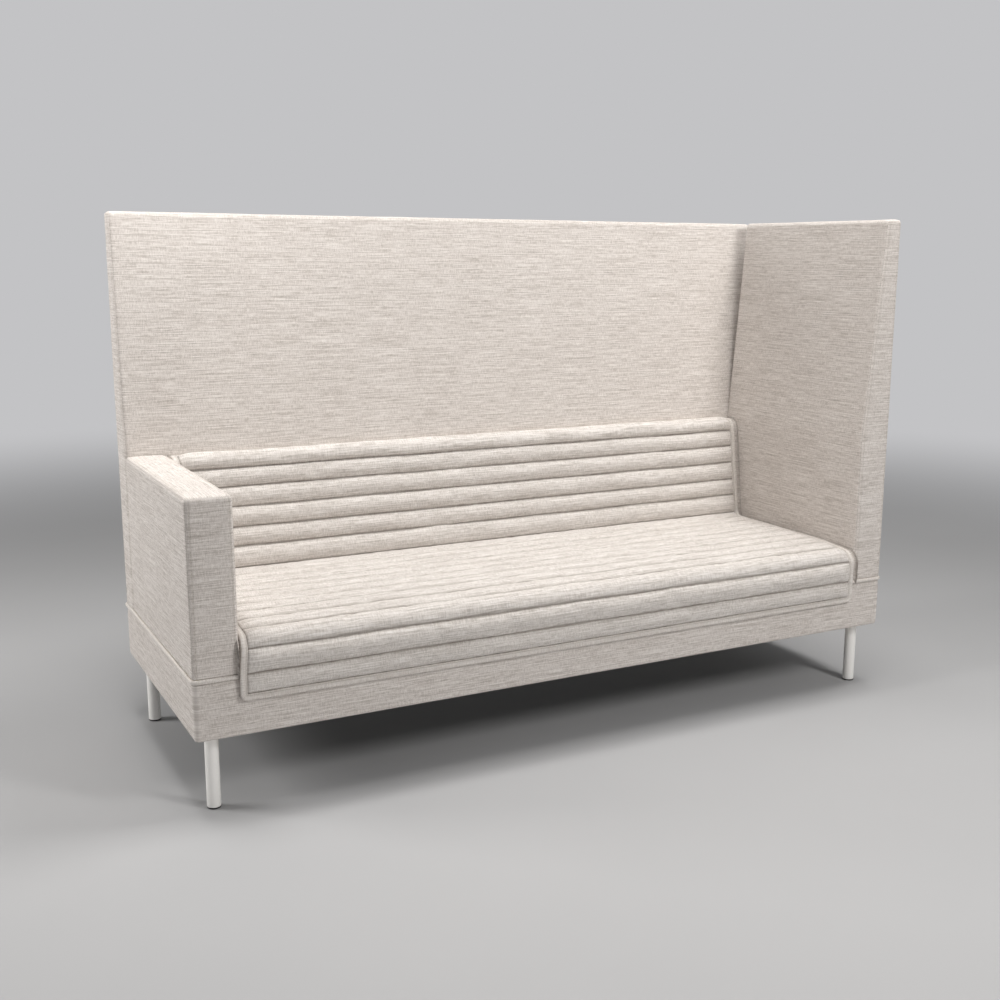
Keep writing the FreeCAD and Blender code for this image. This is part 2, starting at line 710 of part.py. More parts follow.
class Line:
    """A line in the Y-Z plane made of straights and bends.

    Its heading is the angle below level, facing the front. A bend of positive radius turns down
    and one of negative radius turns back up."""

    def __init__(self, y, z):
        self.steps = []
        self.length = 0.0
        self.y, self.z, self.heading = y, z, 0.0

    def straight(self, length):
        self.step(length, None)

    def bend(self, radius, angle):
        self.step(abs(radius) * angle, radius)

    def step(self, length, radius):
        self.steps.append((self.length, self.length + length, radius, self.y, self.z,
                           self.heading))
        self.length += length
        self.y, self.z, self.heading = self.follow(self.length)

    def follow(self, distance):
        """The place and heading at a distance along the line."""
        start, _, radius, y, z, heading = next(
            (step for step in self.steps if distance <= step[1]), self.steps[-1])
        gone = distance - start
        if radius is None:
            return y - gone * math.cos(heading), z - gone * math.sin(heading), heading
        turned = heading + gone / radius
        return (y + radius * (math.sin(heading) - math.sin(turned)),
                z + radius * (math.cos(turned) - math.cos(heading)), turned)

    def point(self, distance, x, lift=0.0):
        """A point at a distance along the line, lifted square off it on the side of the sitter."""
        y, z, heading = self.follow(distance)
        return Vector(x, y - lift * math.sin(heading), z + lift * math.cos(heading))

    def curves(self, x, low=0.0, high=None):
        """The line between two distances, as joined straights and arcs at one X."""
        high = self.length if high is None else high
        joined = []
        for start, stop, radius, *_ in self.steps:
            ends = max(start, low), min(stop, high)
            if ends[1] - ends[0] < 1e-3:
                continue
            first, last = self.point(ends[0] + 1e-9, x), self.point(ends[1], x)
            if radius is None:
                joined.append(Part.LineSegment(joined[-1].EndPoint if joined else first, last))
            else:
                middle = self.point(sum(ends) / 2, x)
                joined.append(Part.Arc(joined[-1].EndPoint if joined else first, middle, last))
        return joined


def over_cushion(line, lift, low):
    """Runs a line over the top of the back cushion and down its front to a height."""
    slope = math.radians(90 - size("cushion_lean_degrees"))
    roll = size("cushion_roll_radius") + lift
    foot_y = place("back_face") - size("cushion_foot")
    centre_z = line.z - roll
    centre_y = foot_y + (math.cos(slope) * (centre_z - place("seat_top"))
                         + size("cushion_roll_radius")) / math.sin(slope)
    line.straight(line.y - centre_y)
    line.bend(roll, slope)
    line.straight((line.z - low) / math.sin(slope))
    return slope


def over_seat(line, lift, front, nose, foot):
    """Runs a level line forwards along the seat, round its nose and down to a height."""
    fall = math.radians(size("seat_fall_degrees"))
    fall_radius = size("seat_fall_radius") + lift
    fall_start = front + nose + (fall_radius - nose) * math.sin(fall)
    line.straight(line.y - fall_start)
    line.bend(fall_radius, fall)
    line.bend(nose, math.pi / 2 - fall)
    line.straight(line.z - foot)


def extruded(curves, corners, low_x, high_x):
    """A solid along X: curves that are closed by straights through the given Y-Z corners."""
    points = [curves[-1].EndPoint] + [Vector(low_x, y, z) for y, z in corners]
    points.append(curves[0].StartPoint)
    closing = [Part.LineSegment(*pair) for pair in zip(points, points[1:])]
    wire = Part.Wire([piece.toShape() for piece in curves + closing])
    return Part.Face(wire).extrude(Vector(high_x - low_x, 0, 0))


def seat_block(inset):
    """The seat's solid, set in all round by a wall."""
    half = place("seat_half") - inset
    rear, foot = place("back_face") - inset, place("deck_top") + inset
    line = Line(rear, place("seat_top") - inset)
    over_seat(line, -inset, place("base_front") + inset, size("seat_nose_radius") - inset, foot)
    return extruded(line.curves(-half), [(rear, foot)], -half, half)


def cushion_block(inset):
    """The back cushion's solid, set in all round by a wall."""
    half = place("seat_half") - inset
    rear, foot = place("back_face") - inset, place("seat_top") + inset
    line = Line(rear, place("cushion_top") - inset)
    over_cushion(line, -inset, foot)
    return extruded(line.curves(-half), [(rear, foot)], -half, half)


def seat_and_cushion():
    """Foam blocks in sewn covers."""
    skin = size("cover_thickness")
    for name, shape in (("seat", seat_block), ("back_cushion", cushion_block)):
        node(solid(f"{name}_filling", shape(skin)), f"{name}_foam")
        node(solid(f"{name}_sleeve", shape(0).cut(shape(skin))), f"{name}_cover")


def seat_webbing():
    """Elastic straps from the front rail to the back bearer, and the cloth over them."""
    low_y = "Places.base_front + Places.rail_inset"
    run_y = "Places.side_run - Places.rail_inset"
    pitch = "2 * Places.seat_half / Sizes.strap_count"
    straps = [block("strap", (f"({index} + 0.5) * {pitch} - Places.seat_half"
                              " - Sizes.strap_width / 2", low_y, "Places.base_top"),
                    ("Sizes.strap_width", run_y, "Sizes.strap_thickness"))
              for index in range(round(size("strap_count")))]
    node(group("straps", straps), "seat_webbing")
    node(block("deck", ("-Places.seat_half", low_y, "Places.base_top + Sizes.strap_thickness"),
               ("2 * Places.seat_half", run_y, "Sizes.deck_cloth")), "seat_deck_cloth")


def mat_line(lift):
    """The mat's line, a lift above its underside, from its rear edge to its front hem."""
    gap = size("rest_gap") + lift
    line = Line(place("back_face") - size("hang_gap"), place("cushion_top") + gap)
    over_cushion(line, gap, place("seat_top") + gap)
    line.heading = 0.0
    over_seat(line, gap, place("base_front") - size("lip_proud") - size("hang_gap") - lift,
              size("seat_nose_radius") + size("lip_proud") + lift,
              place("base_top") - size("mat_hem_drop"))
    return line


def mat_edges(inset):
    """The X of the mat's left and right edges, set in by a distance."""
    return (size("mat_left_gap") + inset - place("seat_half"),
            place("seat_half") - size("mat_right_gap") - inset)


def band(low_lift, high_lift, inset, x):
    """A closed section of the mat at one X, between two lifts and set in from both ends."""
    lower, upper = mat_line(low_lift), mat_line(high_lift)
    bottom = lower.curves(x, inset, lower.length - inset)
    top = upper.curves(x, inset, upper.length - inset)
    ends = [Part.LineSegment(bottom[-1].EndPoint, top[-1].EndPoint),
            Part.LineSegment(top[0].StartPoint, bottom[0].StartPoint)]
    ring = bottom + [ends[0]] + top[::-1] + [ends[1]]
    return Part.Wire([piece.toShape() for piece in ring])


def mat_pad():
    """Channels stitched across the mat at one pitch, counted from the front hem.

    Each channel is an arc from seam to seam over a crown, and the crowns fall towards the binding
    at the mat's two ends."""
    lining = size("mat_lining")
    base, under = mat_line(0), mat_line(lining)
    hem, pitch = size("binding_width"), size("channel_pitch")
    count = int((base.length - 2 * hem) // pitch)
    stops = [hem] + [base.length - hem - pitch * index for index in range(count, -1, -1)]
    seam, crown = size("mat_seam_thickness"), size("mat_crown_thickness")
    left, right = mat_edges(hem)
    fall = size("mat_end_fall")
    sections = {left: 0.2, left + fall / 2: 0.75, left + fall: 1,
                right - fall: 1, right - fall / 2: 0.75, right: 0.2}
    wires = []
    for x, fullness in sections.items():
        peak = seam + fullness * (crown - seam)
        top = [Part.Arc(base.point(low, x, seam), base.point((low + high) / 2, x, peak),
                        base.point(high, x, seam)) for low, high in zip(stops, stops[1:])]
        bottom = under.curves(x, hem, under.length - hem)
        ends = [Part.LineSegment(bottom[0].StartPoint, top[0].StartPoint),
                Part.LineSegment(top[-1].EndPoint, bottom[-1].EndPoint)]
        ring = [ends[0]] + top + [ends[1]] + bottom[::-1]
        wires.append(Part.Wire([piece.toShape() for piece in ring]))
    return Part.makeLoft(wires, True, True)


def mat_lining():
    """Thin cloth along the underside of the pad."""
    left, right = mat_edges(size("binding_width"))
    wire = band(0, size("mat_lining"), size("binding_width"), left)
    return Part.Face(wire).extrude(Vector(right - left, 0, 0))


def mat_binding():
    """A folded strip round all four sides of the mat, bevelled at its ends and round below."""
    width, thick, bevel = size("binding_width"), size("binding_thickness"), size("binding_bevel")
    outer, inner = mat_edges(0), mat_edges(width)
    sections = [band(bevel, thick - bevel, 0, outer[0]), band(0, thick, 0, outer[0] + bevel),
                band(0, thick, 0, outer[1] - bevel), band(bevel, thick - bevel, 0, outer[1])]
    strip = Part.makeLoft(sections, True, True)
    spare = size("rest_gap") / 2
    window = Part.Face(band(-spare, thick + spare, width, inner[0]))
    strip = strip.cut(window.extrude(Vector(inner[1] - inner[0], 0, 0)))
    radius = size("binding_corner_radius")
    foot = place("base_top") - size("mat_hem_drop")
    front = place("base_front") - size("mat_crown_thickness") - size("seat_nose_radius")
    for x, side in zip(outer, (1, -1)):
        centre = Vector(x + side * radius, front, foot + radius)
        square = Part.makeBox(radius, size("seat_nose_radius") * 2, radius,
                              Vector(min(x, centre.x), front, foot))
        disc = Part.makeCylinder(radius, size("seat_nose_radius") * 2, centre, Vector(0, 1, 0))
        strip = strip.cut(square.cut(disc))
    return strip


def mat():
    for name, shape in (("pad", mat_pad()), ("lining", mat_lining()), ("binding", mat_binding())):
        node(solid(f"mat_{name}_shape", shape), f"mat_{name}")


def build():
    base_rails()
    base_corner_blocks()
    base_bearers()
    base_padding()
    base_cover()
    base_lip()
    dust_cover()
    label_tab()
    legs()
    for name in PANELS:
        panel_frame(name)
        panel_upholstery(name)
        panel_bolts(name)
    tee_nuts()
    seat_webbing()
    seat_and_cushion()
    mat()
    doc.recompute()


def check():
    """Stops before anything is written if an object failed or a sub-part isn't a sound solid."""
    for item in doc.Objects:
        if "Invalid" in item.State or "Error" in item.State:
            raise RuntimeError(f"{item.Label}: {item.State}")
    for piece in nodes:
        shape = piece.Shape
        if shape.isNull() or not shape.isValid() or not shape.Solids:
            raise RuntimeError(f"{piece.Label} has no sound solid")


build()
check()
os.makedirs("parts", exist_ok=True)
for piece in nodes:
    piece.Shape.exportStep(f"parts/{piece.Label}.step")
print(len(nodes), "sub-parts")
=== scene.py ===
"""High back settee: the looks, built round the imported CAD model.

Every piece is in metres in the model's own frame: +Z up, the seat faces -Y, the low arm at -X.
The covers, cushions and the quilted mat are surfaces worked out with numpy. The timber, foam and
fasteners inside stay as the CAD nodes and only get their finishes here.
"""
import math

import bmesh
import bpy
import numpy as np
from mathutils import Matrix, Vector


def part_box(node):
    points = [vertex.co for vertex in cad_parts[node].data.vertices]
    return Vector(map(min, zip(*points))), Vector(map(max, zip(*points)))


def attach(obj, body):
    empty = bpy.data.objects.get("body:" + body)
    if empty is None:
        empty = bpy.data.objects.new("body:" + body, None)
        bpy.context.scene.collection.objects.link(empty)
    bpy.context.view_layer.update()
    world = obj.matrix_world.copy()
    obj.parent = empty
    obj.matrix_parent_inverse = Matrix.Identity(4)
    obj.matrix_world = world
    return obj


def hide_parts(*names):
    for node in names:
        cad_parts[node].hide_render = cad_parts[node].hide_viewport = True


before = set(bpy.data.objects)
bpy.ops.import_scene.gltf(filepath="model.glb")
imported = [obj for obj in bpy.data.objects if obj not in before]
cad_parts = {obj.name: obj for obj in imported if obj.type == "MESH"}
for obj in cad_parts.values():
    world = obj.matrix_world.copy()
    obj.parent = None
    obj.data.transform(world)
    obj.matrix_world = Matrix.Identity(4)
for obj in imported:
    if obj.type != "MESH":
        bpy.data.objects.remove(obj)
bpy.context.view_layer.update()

bl_info = {
    "name": "High Back Settee",
    "version": (1, 0, 0),
    "blender": (4, 5, 0),
    "location": "View3D > Sidebar > Settee",
    "description": "Dresses the packed high back settee in its covers, cushions and quilted mat",
    "category": "Object",
}

MM = 0.001


def from_hex(code):
    """An sRGB hex colour as linear RGBA."""
    parts = [int(code[at:at + 2], 16) / 255 for at in (0, 2, 4)]
    return tuple(c / 12.92 if c <= 0.04045 else ((c + 0.055) / 1.055) ** 2.4 for c in parts) + (1,)


def cad_box(name):
    """A CAD node's lowest and highest corners as arrays."""
    low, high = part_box(name)
    return np.array(low), np.array(high)


# Heights and edges that several pieces share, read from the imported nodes
ARM_LOW, ARM_HIGH = cad_box("arm_cover")
WING_LOW, WING_HIGH = cad_box("wing_cover")
BACK_LOW, BACK_HIGH = cad_box("back_cover")
SKIRT_LOW, SKIRT_HIGH = cad_box("base_cover")
SEAT_LOW, SEAT_HIGH = cad_box("seat_cover")
CUSHION_LOW, CUSHION_HIGH = cad_box("back_cushion_cover")
MAT_LOW, MAT_HIGH = cad_box("mat_binding")
BASE_TOP = ARM_LOW[2]
BACK_FACE = BACK_LOW[1]
PANEL_DEPTH = ARM_HIGH[0] - ARM_LOW[0]


# Sizes and colours that a user would change

def length(label, about, default):
    """A property that holds a length in metres."""
    return bpy.props.FloatProperty(name=label, description=about, default=default, min=0.0,
                                   unit="LENGTH", precision=4)


def colour(label, about, code):
    """A property that holds a colour."""
    return bpy.props.FloatVectorProperty(name=label, description=about, default=from_hex(code),
                                         size=4, min=0.0, max=1.0, subtype="COLOR")


class SetteeSizes(bpy.types.PropertyGroup):
    """Sizes of the upholstery's details."""
    top_depth: length("Panel depth at the top", "How deep the tall panels are at the top", 0.050)
    knee_height: length("Knee height", "Height at which the tall panels begin to lean",
                        ARM_HIGH[2])
    edge_radius: length("Edge radius", "Rounding of the panels' upright and top edges", 0.010)
    billow: length("Billow", "How far the foam pushes a panel's face out", 0.0025)
    stitch_inset: length("Stitch inset", "Distance of a stitched row from its edge", 0.0085)
    stitch_pitch: length("Stitch pitch", "Distance from stitch to stitch", 0.008)
    channel_pitch: length("Channel pitch", "Distance between the mat's sewn seams", 0.0552)
    seam_thickness: length("Seam thickness", "Thickness of the mat at a seam", 0.008)
    crown_thickness: length("Crown thickness", "Thickness of the mat between seams", 0.017)
    binding_width: length("Binding width", "Width of the folded strip round the mat", 0.016)
    binding_thickness: length("Binding thickness", "Thickness of the folded strip", 0.010)
    hem_dip: length("Hem dip", "How much lower the mat's hem hangs at mid-span", 0.001)


class SetteeColours(bpy.types.PropertyGroup):
    """Colours of the finishes."""
    cover: colour("Cover", "Woven wool cover", "d6cec8")
    mat: colour("Mat", "Woven wool of the quilted mat", "d5cec8")
    lining: colour("Lining", "Cloth under the base and under the mat", "3a3936")
    leg: colour("Legs", "Powder coat", "efece6")
    glide: colour("Glides", "Moulded nylon", "16171a")
    floor: colour("Floor", "Studio floor", "b7b7b8")


def sizes():
    return bpy.context.scene.settee_sizes


def colours():
    return bpy.context.scene.settee_colours


# Small tools: noise, grids and meshes

def ripple(seed, scale, *coordinates):
    """Smooth noise from -1 to 1: eight sine waves of about one length, each in its own direction
    and phase, added and divided by the square root of their number."""
    draw = np.random.default_rng(seed)
    total = 0.0
    for _ in range(8):
        way = draw.normal(size=len(coordinates))
        way *= draw.uniform(0.6, 1.4) / np.linalg.norm(way)
        phase = draw.uniform(0, 2 * math.pi)
        wave = sum(part * axis for part, axis in zip(way, coordinates))
        total = total + np.sin(wave * 2 * math.pi / scale + phase)
    return np.clip(total / math.sqrt(8), -1.6, 1.6) / 1.6


def smooth_step(low, high, value):
    """0 below low, 1 above high, and a smooth cubic between."""
    part = np.clip((value - low) / (high - low), 0, 1)
    return part * part * (3 - 2 * part)


def hump(value, middle, width):
    """A bell curve of height 1 round a middle."""
    return np.exp(-((value - middle) / width) ** 2)


def spaced(low, high, edge_steps, pitch):
    """Grid lines from low to high: at the given distances from both ends, and evenly between."""
    steps = np.array(edge_steps)
    inner_low, inner_high = low + steps[-1], high - steps[-1]
    count = max(int(round((inner_high - inner_low) / pitch)), 1)
    middle = np.linspace(inner_low, inner_high, count + 1)[1:-1]
    return np.concatenate([low + steps, middle, high - steps[::-1]])


def grid_quads(rows, columns, loop_rows=False, loop_columns=False, start=0):
    """Quads of a grid whose points are numbered row by row."""
    row = np.arange(rows if loop_rows else rows - 1)
    column = np.arange(columns if loop_columns else columns - 1)
    row, column = np.meshgrid(row, column, indexing="ij")
    next_row, next_column = (row + 1) % rows, (column + 1) % columns
    quads = np.stack([row * columns + column, row * columns + next_column,
                      next_row * columns + next_column, next_row * columns + column], axis=-1)
    return quads.reshape(-1, 4) + start


class Surface:
    """Points, faces, cloth coordinates and painted seam shade that grow grid by grid into one
    mesh.
    """

    def __init__(self):
        self.points, self.quads, self.cloth, self.seam, self.count = [], [], [], [], 0

    def add_grid(self, points, cloth=None, seam=None, flip=False, loop_rows=False,
                 loop_columns=False):
        """Adds a (rows, columns, 3) grid. Cloth coordinates are metres on the woven piece."""
        rows, columns = points.shape[:2]
        quads = grid_quads(rows, columns, loop_rows, loop_columns, self.count)
        self.quads.append(quads[:, ::-1] if flip else quads)
        self.points.append(points.reshape(-1, 3))
        self.cloth.append(np.zeros((rows * columns, 2)) if cloth is None
                          else cloth.reshape(-1, 2))
        self.seam.append(np.zeros(rows * columns) if seam is None
                         else np.broadcast_to(seam, (rows, columns)).reshape(-1))
        self.count += rows * columns

    def cap(self, ring, steps=(0.92, 0.7, 0.4, 0.1, 0.0)):
        """Closes a ring of points with smaller copies of itself that end in its middle."""
        middle = ring.mean(axis=0)
        rings = np.stack([ring] + [middle + (ring - middle) * part for part in steps])
        self.add_grid(rings, np.stack([rings[..., 1], rings[..., 2]], axis=-1),
                      loop_columns=True)

    def build(self, name, material, merge=2e-5, closed=True):
        """One smooth mesh object at the origin, with doubled points merged. The faces of closed
        shells are turned outwards."""
        mesh = bpy.data.meshes.new(name)
        points, quads = np.concatenate(self.points), np.concatenate(self.quads)
        mesh.from_pydata(points.tolist(), [], quads.tolist())
        uv = mesh.uv_layers.new(name="cloth")
        corners = np.empty(len(mesh.loops), dtype=np.int64)
        mesh.loops.foreach_get("vertex_index", corners)
        uv.data.foreach_set("uv", np.concatenate(self.cloth)[corners].astype(np.float32).ravel())
        # the seam attribute holds painted shade: the cloth materials darken their colour by it
        seam = mesh.attributes.new("seam", "FLOAT", "POINT")
        seam.data.foreach_set("value", np.concatenate(self.seam).astype(np.float32))
        shell = bmesh.new()
        shell.from_mesh(mesh)
        bmesh.ops.remove_doubles(shell, verts=shell.verts, dist=merge)
        if closed:
            bmesh.ops.recalc_face_normals(shell, faces=shell.faces)
        shell.to_mesh(mesh)
        shell.free()
        mesh.polygons.foreach_set("use_smooth", np.ones(len(mesh.polygons), dtype=bool))
        mesh.materials.append(material)
        piece = bpy.data.objects.new(name, mesh)
        bpy.context.scene.collection.objects.link(piece)
        return piece


def place_piece(piece, body, slot, *nodes):
    """Rides a piece on its body and hides the CAD nodes it stands for. The slot is not used."""
    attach(piece, body)
    if nodes:
        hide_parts(*nodes)
    return piece


# Materials

def add(tree, kind, settings=None, **links):
    """Adds a node. Settings are socket values or node properties by name; links join a socket,
    named with underscores for spaces, to another node's output."""
    made = tree.nodes.new(kind)
    for key, value in (settings or {}).items():
        if isinstance(key, int):
            made.inputs[key].default_value = value
        elif hasattr(made, key):
            setattr(made, key, value)
        else:
            made.inputs[key].default_value = value
    for key, source in links.items():
        target = made.inputs[int(key[1:])] if key[1:].isdigit() else \
            made.inputs[key.replace("_", " ")]
        tree.links.new(source, target)
    return made


def new_material(name):
    """An empty node material and its Principled shader."""
    material = bpy.data.materials.new(name)
    material.use_nodes = True
    tree = material.node_tree
    tree.nodes.clear()
    shader = add(tree, "ShaderNodeBsdfPrincipled")
    add(tree, "ShaderNodeOutputMaterial", Surface=shader.outputs[0])
    return material, tree, shader


def math_node(tree, operation, first, second):
    """A sum, product or power of two values, each a number or a socket."""
    made = add(tree, "ShaderNodeMath", {"operation": operation})
    for index, value in enumerate((first, second)):
        if isinstance(value, (int, float)):
            made.inputs[index].default_value = value
        else:
            tree.links.new(value, made.inputs[index])
    return made.outputs[0]


def woven_wool(name, base, dark="aaa199", light="efeae5", thread=2.2 * MM, slub=1.0, depth=0.5):
    """Woven wool blend, spun unevenly: thick and thin threads make long level streaks, and the
    plain weave breaks up all light. Real threads are about 1.2 mm wide; they are drawn at
    2.2 mm so that they show. Near a seam the colour is darkened by the seam attribute: painted
    shade in the grooves and creases."""
    material, tree, shader = new_material(name)
    shader.inputs["Roughness"].default_value = 0.92
    shader.inputs["IOR"].default_value = 1.46
    shader.inputs["Specular IOR Level"].default_value = 0.25
    shader.inputs["Sheen Weight"].default_value = 0.12
    shader.inputs["Sheen Roughness"].default_value = 0.45
    place = add(tree, "ShaderNodeUVMap", {"uv_map": "cloth"}).outputs[0]
    split = add(tree, "ShaderNodeSeparateXYZ", Vector=place)

    wander = add(tree, "ShaderNodeTexNoise", {"Scale": 90.0, "Detail": 1.0}, Vector=place)
    drift = math_node(tree, "MULTIPLY", wander.outputs["Fac"], 0.9 * thread)
    waves = []
    for axis in (0, 1):
        along = math_node(tree, "ADD", split.outputs[axis], drift)
        turns = math_node(tree, "MULTIPLY", along, 2 * math.pi / thread)
        waves.append(math_node(tree, "SINE", turns, 0.0))
    weave = math_node(tree, "MULTIPLY", waves[0], waves[1])

    streaks = []
    # level slubs 40 mm long and one thread high, short upright ones, broad patches, and level
    # lines 150 mm long where a thicker thread was woven in
    for scale, detail in (((26, 520, 1), 3.0), ((430, 70, 1), 2.0), ((3, 22, 1), 2.0),
                          ((6.5, 330, 1), 2.0)):
        stretch = add(tree, "ShaderNodeMapping", {"Scale": scale}, Vector=place)
        noise = add(tree, "ShaderNodeTexNoise", {"Scale": 1.0, "Detail": detail,
                                                 "Roughness": 0.6}, Vector=stretch.outputs[0])
        streaks.append(math_node(tree, "SUBTRACT", noise.outputs["Fac"], 0.5))
    level = math_node(tree, "ADD", math_node(tree, "MULTIPLY", streaks[0], 1.6 * slub),
                      math_node(tree, "MULTIPLY", streaks[3], 1.4 * slub))
    upright = math_node(tree, "MULTIPLY", streaks[1], 1.1)
    patch = math_node(tree, "MULTIPLY", streaks[2], 0.16)
    crossing = math_node(tree, "MULTIPLY", weave, 0.42)
    tone = math_node(tree, "ADD", math_node(tree, "ADD", level, upright),
                     math_node(tree, "ADD", patch, crossing))
    tone = math_node(tree, "ADD", tone, 0.5)
    ramp = add(tree, "ShaderNodeValToRGB", Fac=tone)
    stops = ramp.color_ramp.elements
    stops[0].position, stops[0].color = 0.0, from_hex(dark)
    stops[1].position, stops[1].color = 1.0, from_hex(light)
    middle = stops.new(0.5)
    middle.color = base
    # painted shade: the seam attribute multiplies the colour darker in the seams' grooves and
    # creases
    seam = add(tree, "ShaderNodeAttribute", {"attribute_name": "seam"}).outputs["Fac"]
    painted_seam_shade = add(tree, "ShaderNodeMix", {"data_type": "RGBA", "blend_type": "MULTIPLY",
                                         7: from_hex("7d7266")}, _0=seam,
                 _6=ramp.outputs["Color"])
    tree.links.new(painted_seam_shade.outputs[2], shader.inputs["Base Color"])

    height = math_node(tree, "ADD", math_node(tree, "MULTIPLY", weave, 0.5),
                       math_node(tree, "MULTIPLY", level, 0.6))
    bump = add(tree, "ShaderNodeBump", {"Strength": depth, "Distance": 0.8 * MM}, Height=height)
    tree.links.new(bump.outputs[0], shader.inputs["Normal"])
    return material


def plain_solid(name, dark, light, roughness, scale=(60, 60, 60), metal=0.0, bump=0.1,
                bump_depth=0.3 * MM, coat=0.0, detail=3.0):
    """A material on Object coordinates: two near colours mixed by stretched noise, which also
    makes its fine surface."""
    material, tree, shader = new_material(name)
    shader.inputs["Roughness"].default_value = roughness
    shader.inputs["Metallic"].default_value = metal
    shader.inputs["Coat Weight"].default_value = coat
    place = add(tree, "ShaderNodeTexCoord").outputs["Object"]
    stretch = add(tree, "ShaderNodeMapping", {"Scale": scale}, Vector=place)
    noise = add(tree, "ShaderNodeTexNoise", {"Scale": 1.0, "Detail": detail, "Roughness": 0.55},
                Vector=stretch.outputs[0])
    ramp = add(tree, "ShaderNodeValToRGB", Fac=noise.outputs["Fac"])
    ramp.color_ramp.elements[0].position = 0.3
    ramp.color_ramp.elements[0].color = from_hex(dark)
    ramp.color_ramp.elements[1].position = 0.7
    ramp.color_ramp.elements[1].color = from_hex(light)
    tree.links.new(ramp.outputs["Color"], shader.inputs["Base Color"])
    relief = add(tree, "ShaderNodeBump", {"Strength": bump, "Distance": bump_depth},
                 Height=noise.outputs["Fac"])
    tree.links.new(relief.outputs[0], shader.inputs["Normal"])
    return material


MATERIALS = {}


def make_materials():
    """All finishes, by what they are."""
    tones = colours()
    MATERIALS.update(
        cover=woven_wool("woven_wool_cover", tones.cover),
        mat=woven_wool("woven_wool_mat", tones.mat, dark="aaa39c", light="f0ece8", slub=0.9),
        # the same wool turned over the roll and the binding, where the threads run along it
        edging=woven_wool("woven_wool_edging", tones.mat, dark="b5aca3", light="f3efea",
                          slub=0.4, depth=0.3),
        # polyester sewing thread: smooth, twisted and a little shiny
        thread=plain_solid("polyester_thread", "cfc6ba", "e6dfd4", 0.55, (900, 900, 900)),
        # spun-bonded polypropylene: matt, pressed with small dots
        lining=plain_solid("spunbond_lining", "2c2b29", "3c3b38", 0.95, (900, 900, 900),
                           bump=0.5),
        # folded woven tape, close and dark
        tab=plain_solid("woven_tape_tab", "23211f", "35322f", 0.9, (1500, 1500, 300), bump=0.5),
        # powder-coated steel: an even satin white with a faint orange peel of 1 mm
        leg=plain_solid("powder_coated_steel", "f3f1ed", "f8f6f3", 0.38, (700, 700, 700),
                        bump=0.08, bump_depth=0.1 * MM),
        # moulded nylon: near black, satin
        glide=plain_solid("moulded_nylon", "121315", "1b1c1f", 0.45, (400, 400, 400)),
        # sawn pine: long grain, pale and dry
        timber=plain_solid("sawn_pine", "c9a46b", "e3c693", 0.7, (40, 9, 9), bump=0.3),
        # pressed hardboard: brown, hard and smooth
        hardboard=plain_solid("pressed_hardboard", "6b4a2f", "80593a", 0.6, (500, 500, 500)),
        # cut polyurethane foam: cream, open cells about 1 mm wide
        foam=plain_solid("polyurethane_foam", "ddcf9f", "efe4bd", 0.95, (1100, 1100, 1100),
                         bump=0.7),
        # elastic jute and rubber webbing
        webbing=plain_solid("elastic_webbing", "3d342a", "57493a", 0.85, (60, 900, 60), bump=0.5),
        # zinc-plated steel: bluish, bright and slightly clouded
        zinc=plain_solid("zinc_plated_steel", "b9bdc1", "cfd3d6", 0.3, (200, 200, 200), metal=1.0,
                         bump=0.05),
    )


# Panels

def panel_depth(height, tall):
    """A panel's depth at a height: above the knee a tall panel thins evenly to its top."""
    if not tall:
        return np.full(np.shape(height), PANEL_DEPTH)
    rise = (height - sizes().knee_height) / (WING_HIGH[2] - sizes().knee_height)
    # the knee is an arc: blend the slope in over 30 mm
    soft = 0.03 / (WING_HIGH[2] - sizes().knee_height)
    eased = np.where(rise < -soft / 2, 0,
                     np.where(rise > soft / 2, rise, (rise + soft / 2) ** 2 / (2 * soft)))
    return PANEL_DEPTH - eased * (PANEL_DEPTH - sizes().top_depth)


EDGE_STEPS = np.array([0, 1.2, 2.6, 4.2, 6, 8, 10, 12.5, 16, 22]) * MM
STRIP_STEPS = np.array([0, 1.2, 2.6, 4.2, 6, 7.5, 8.5, 9.5, 12, 16, 22]) * MM


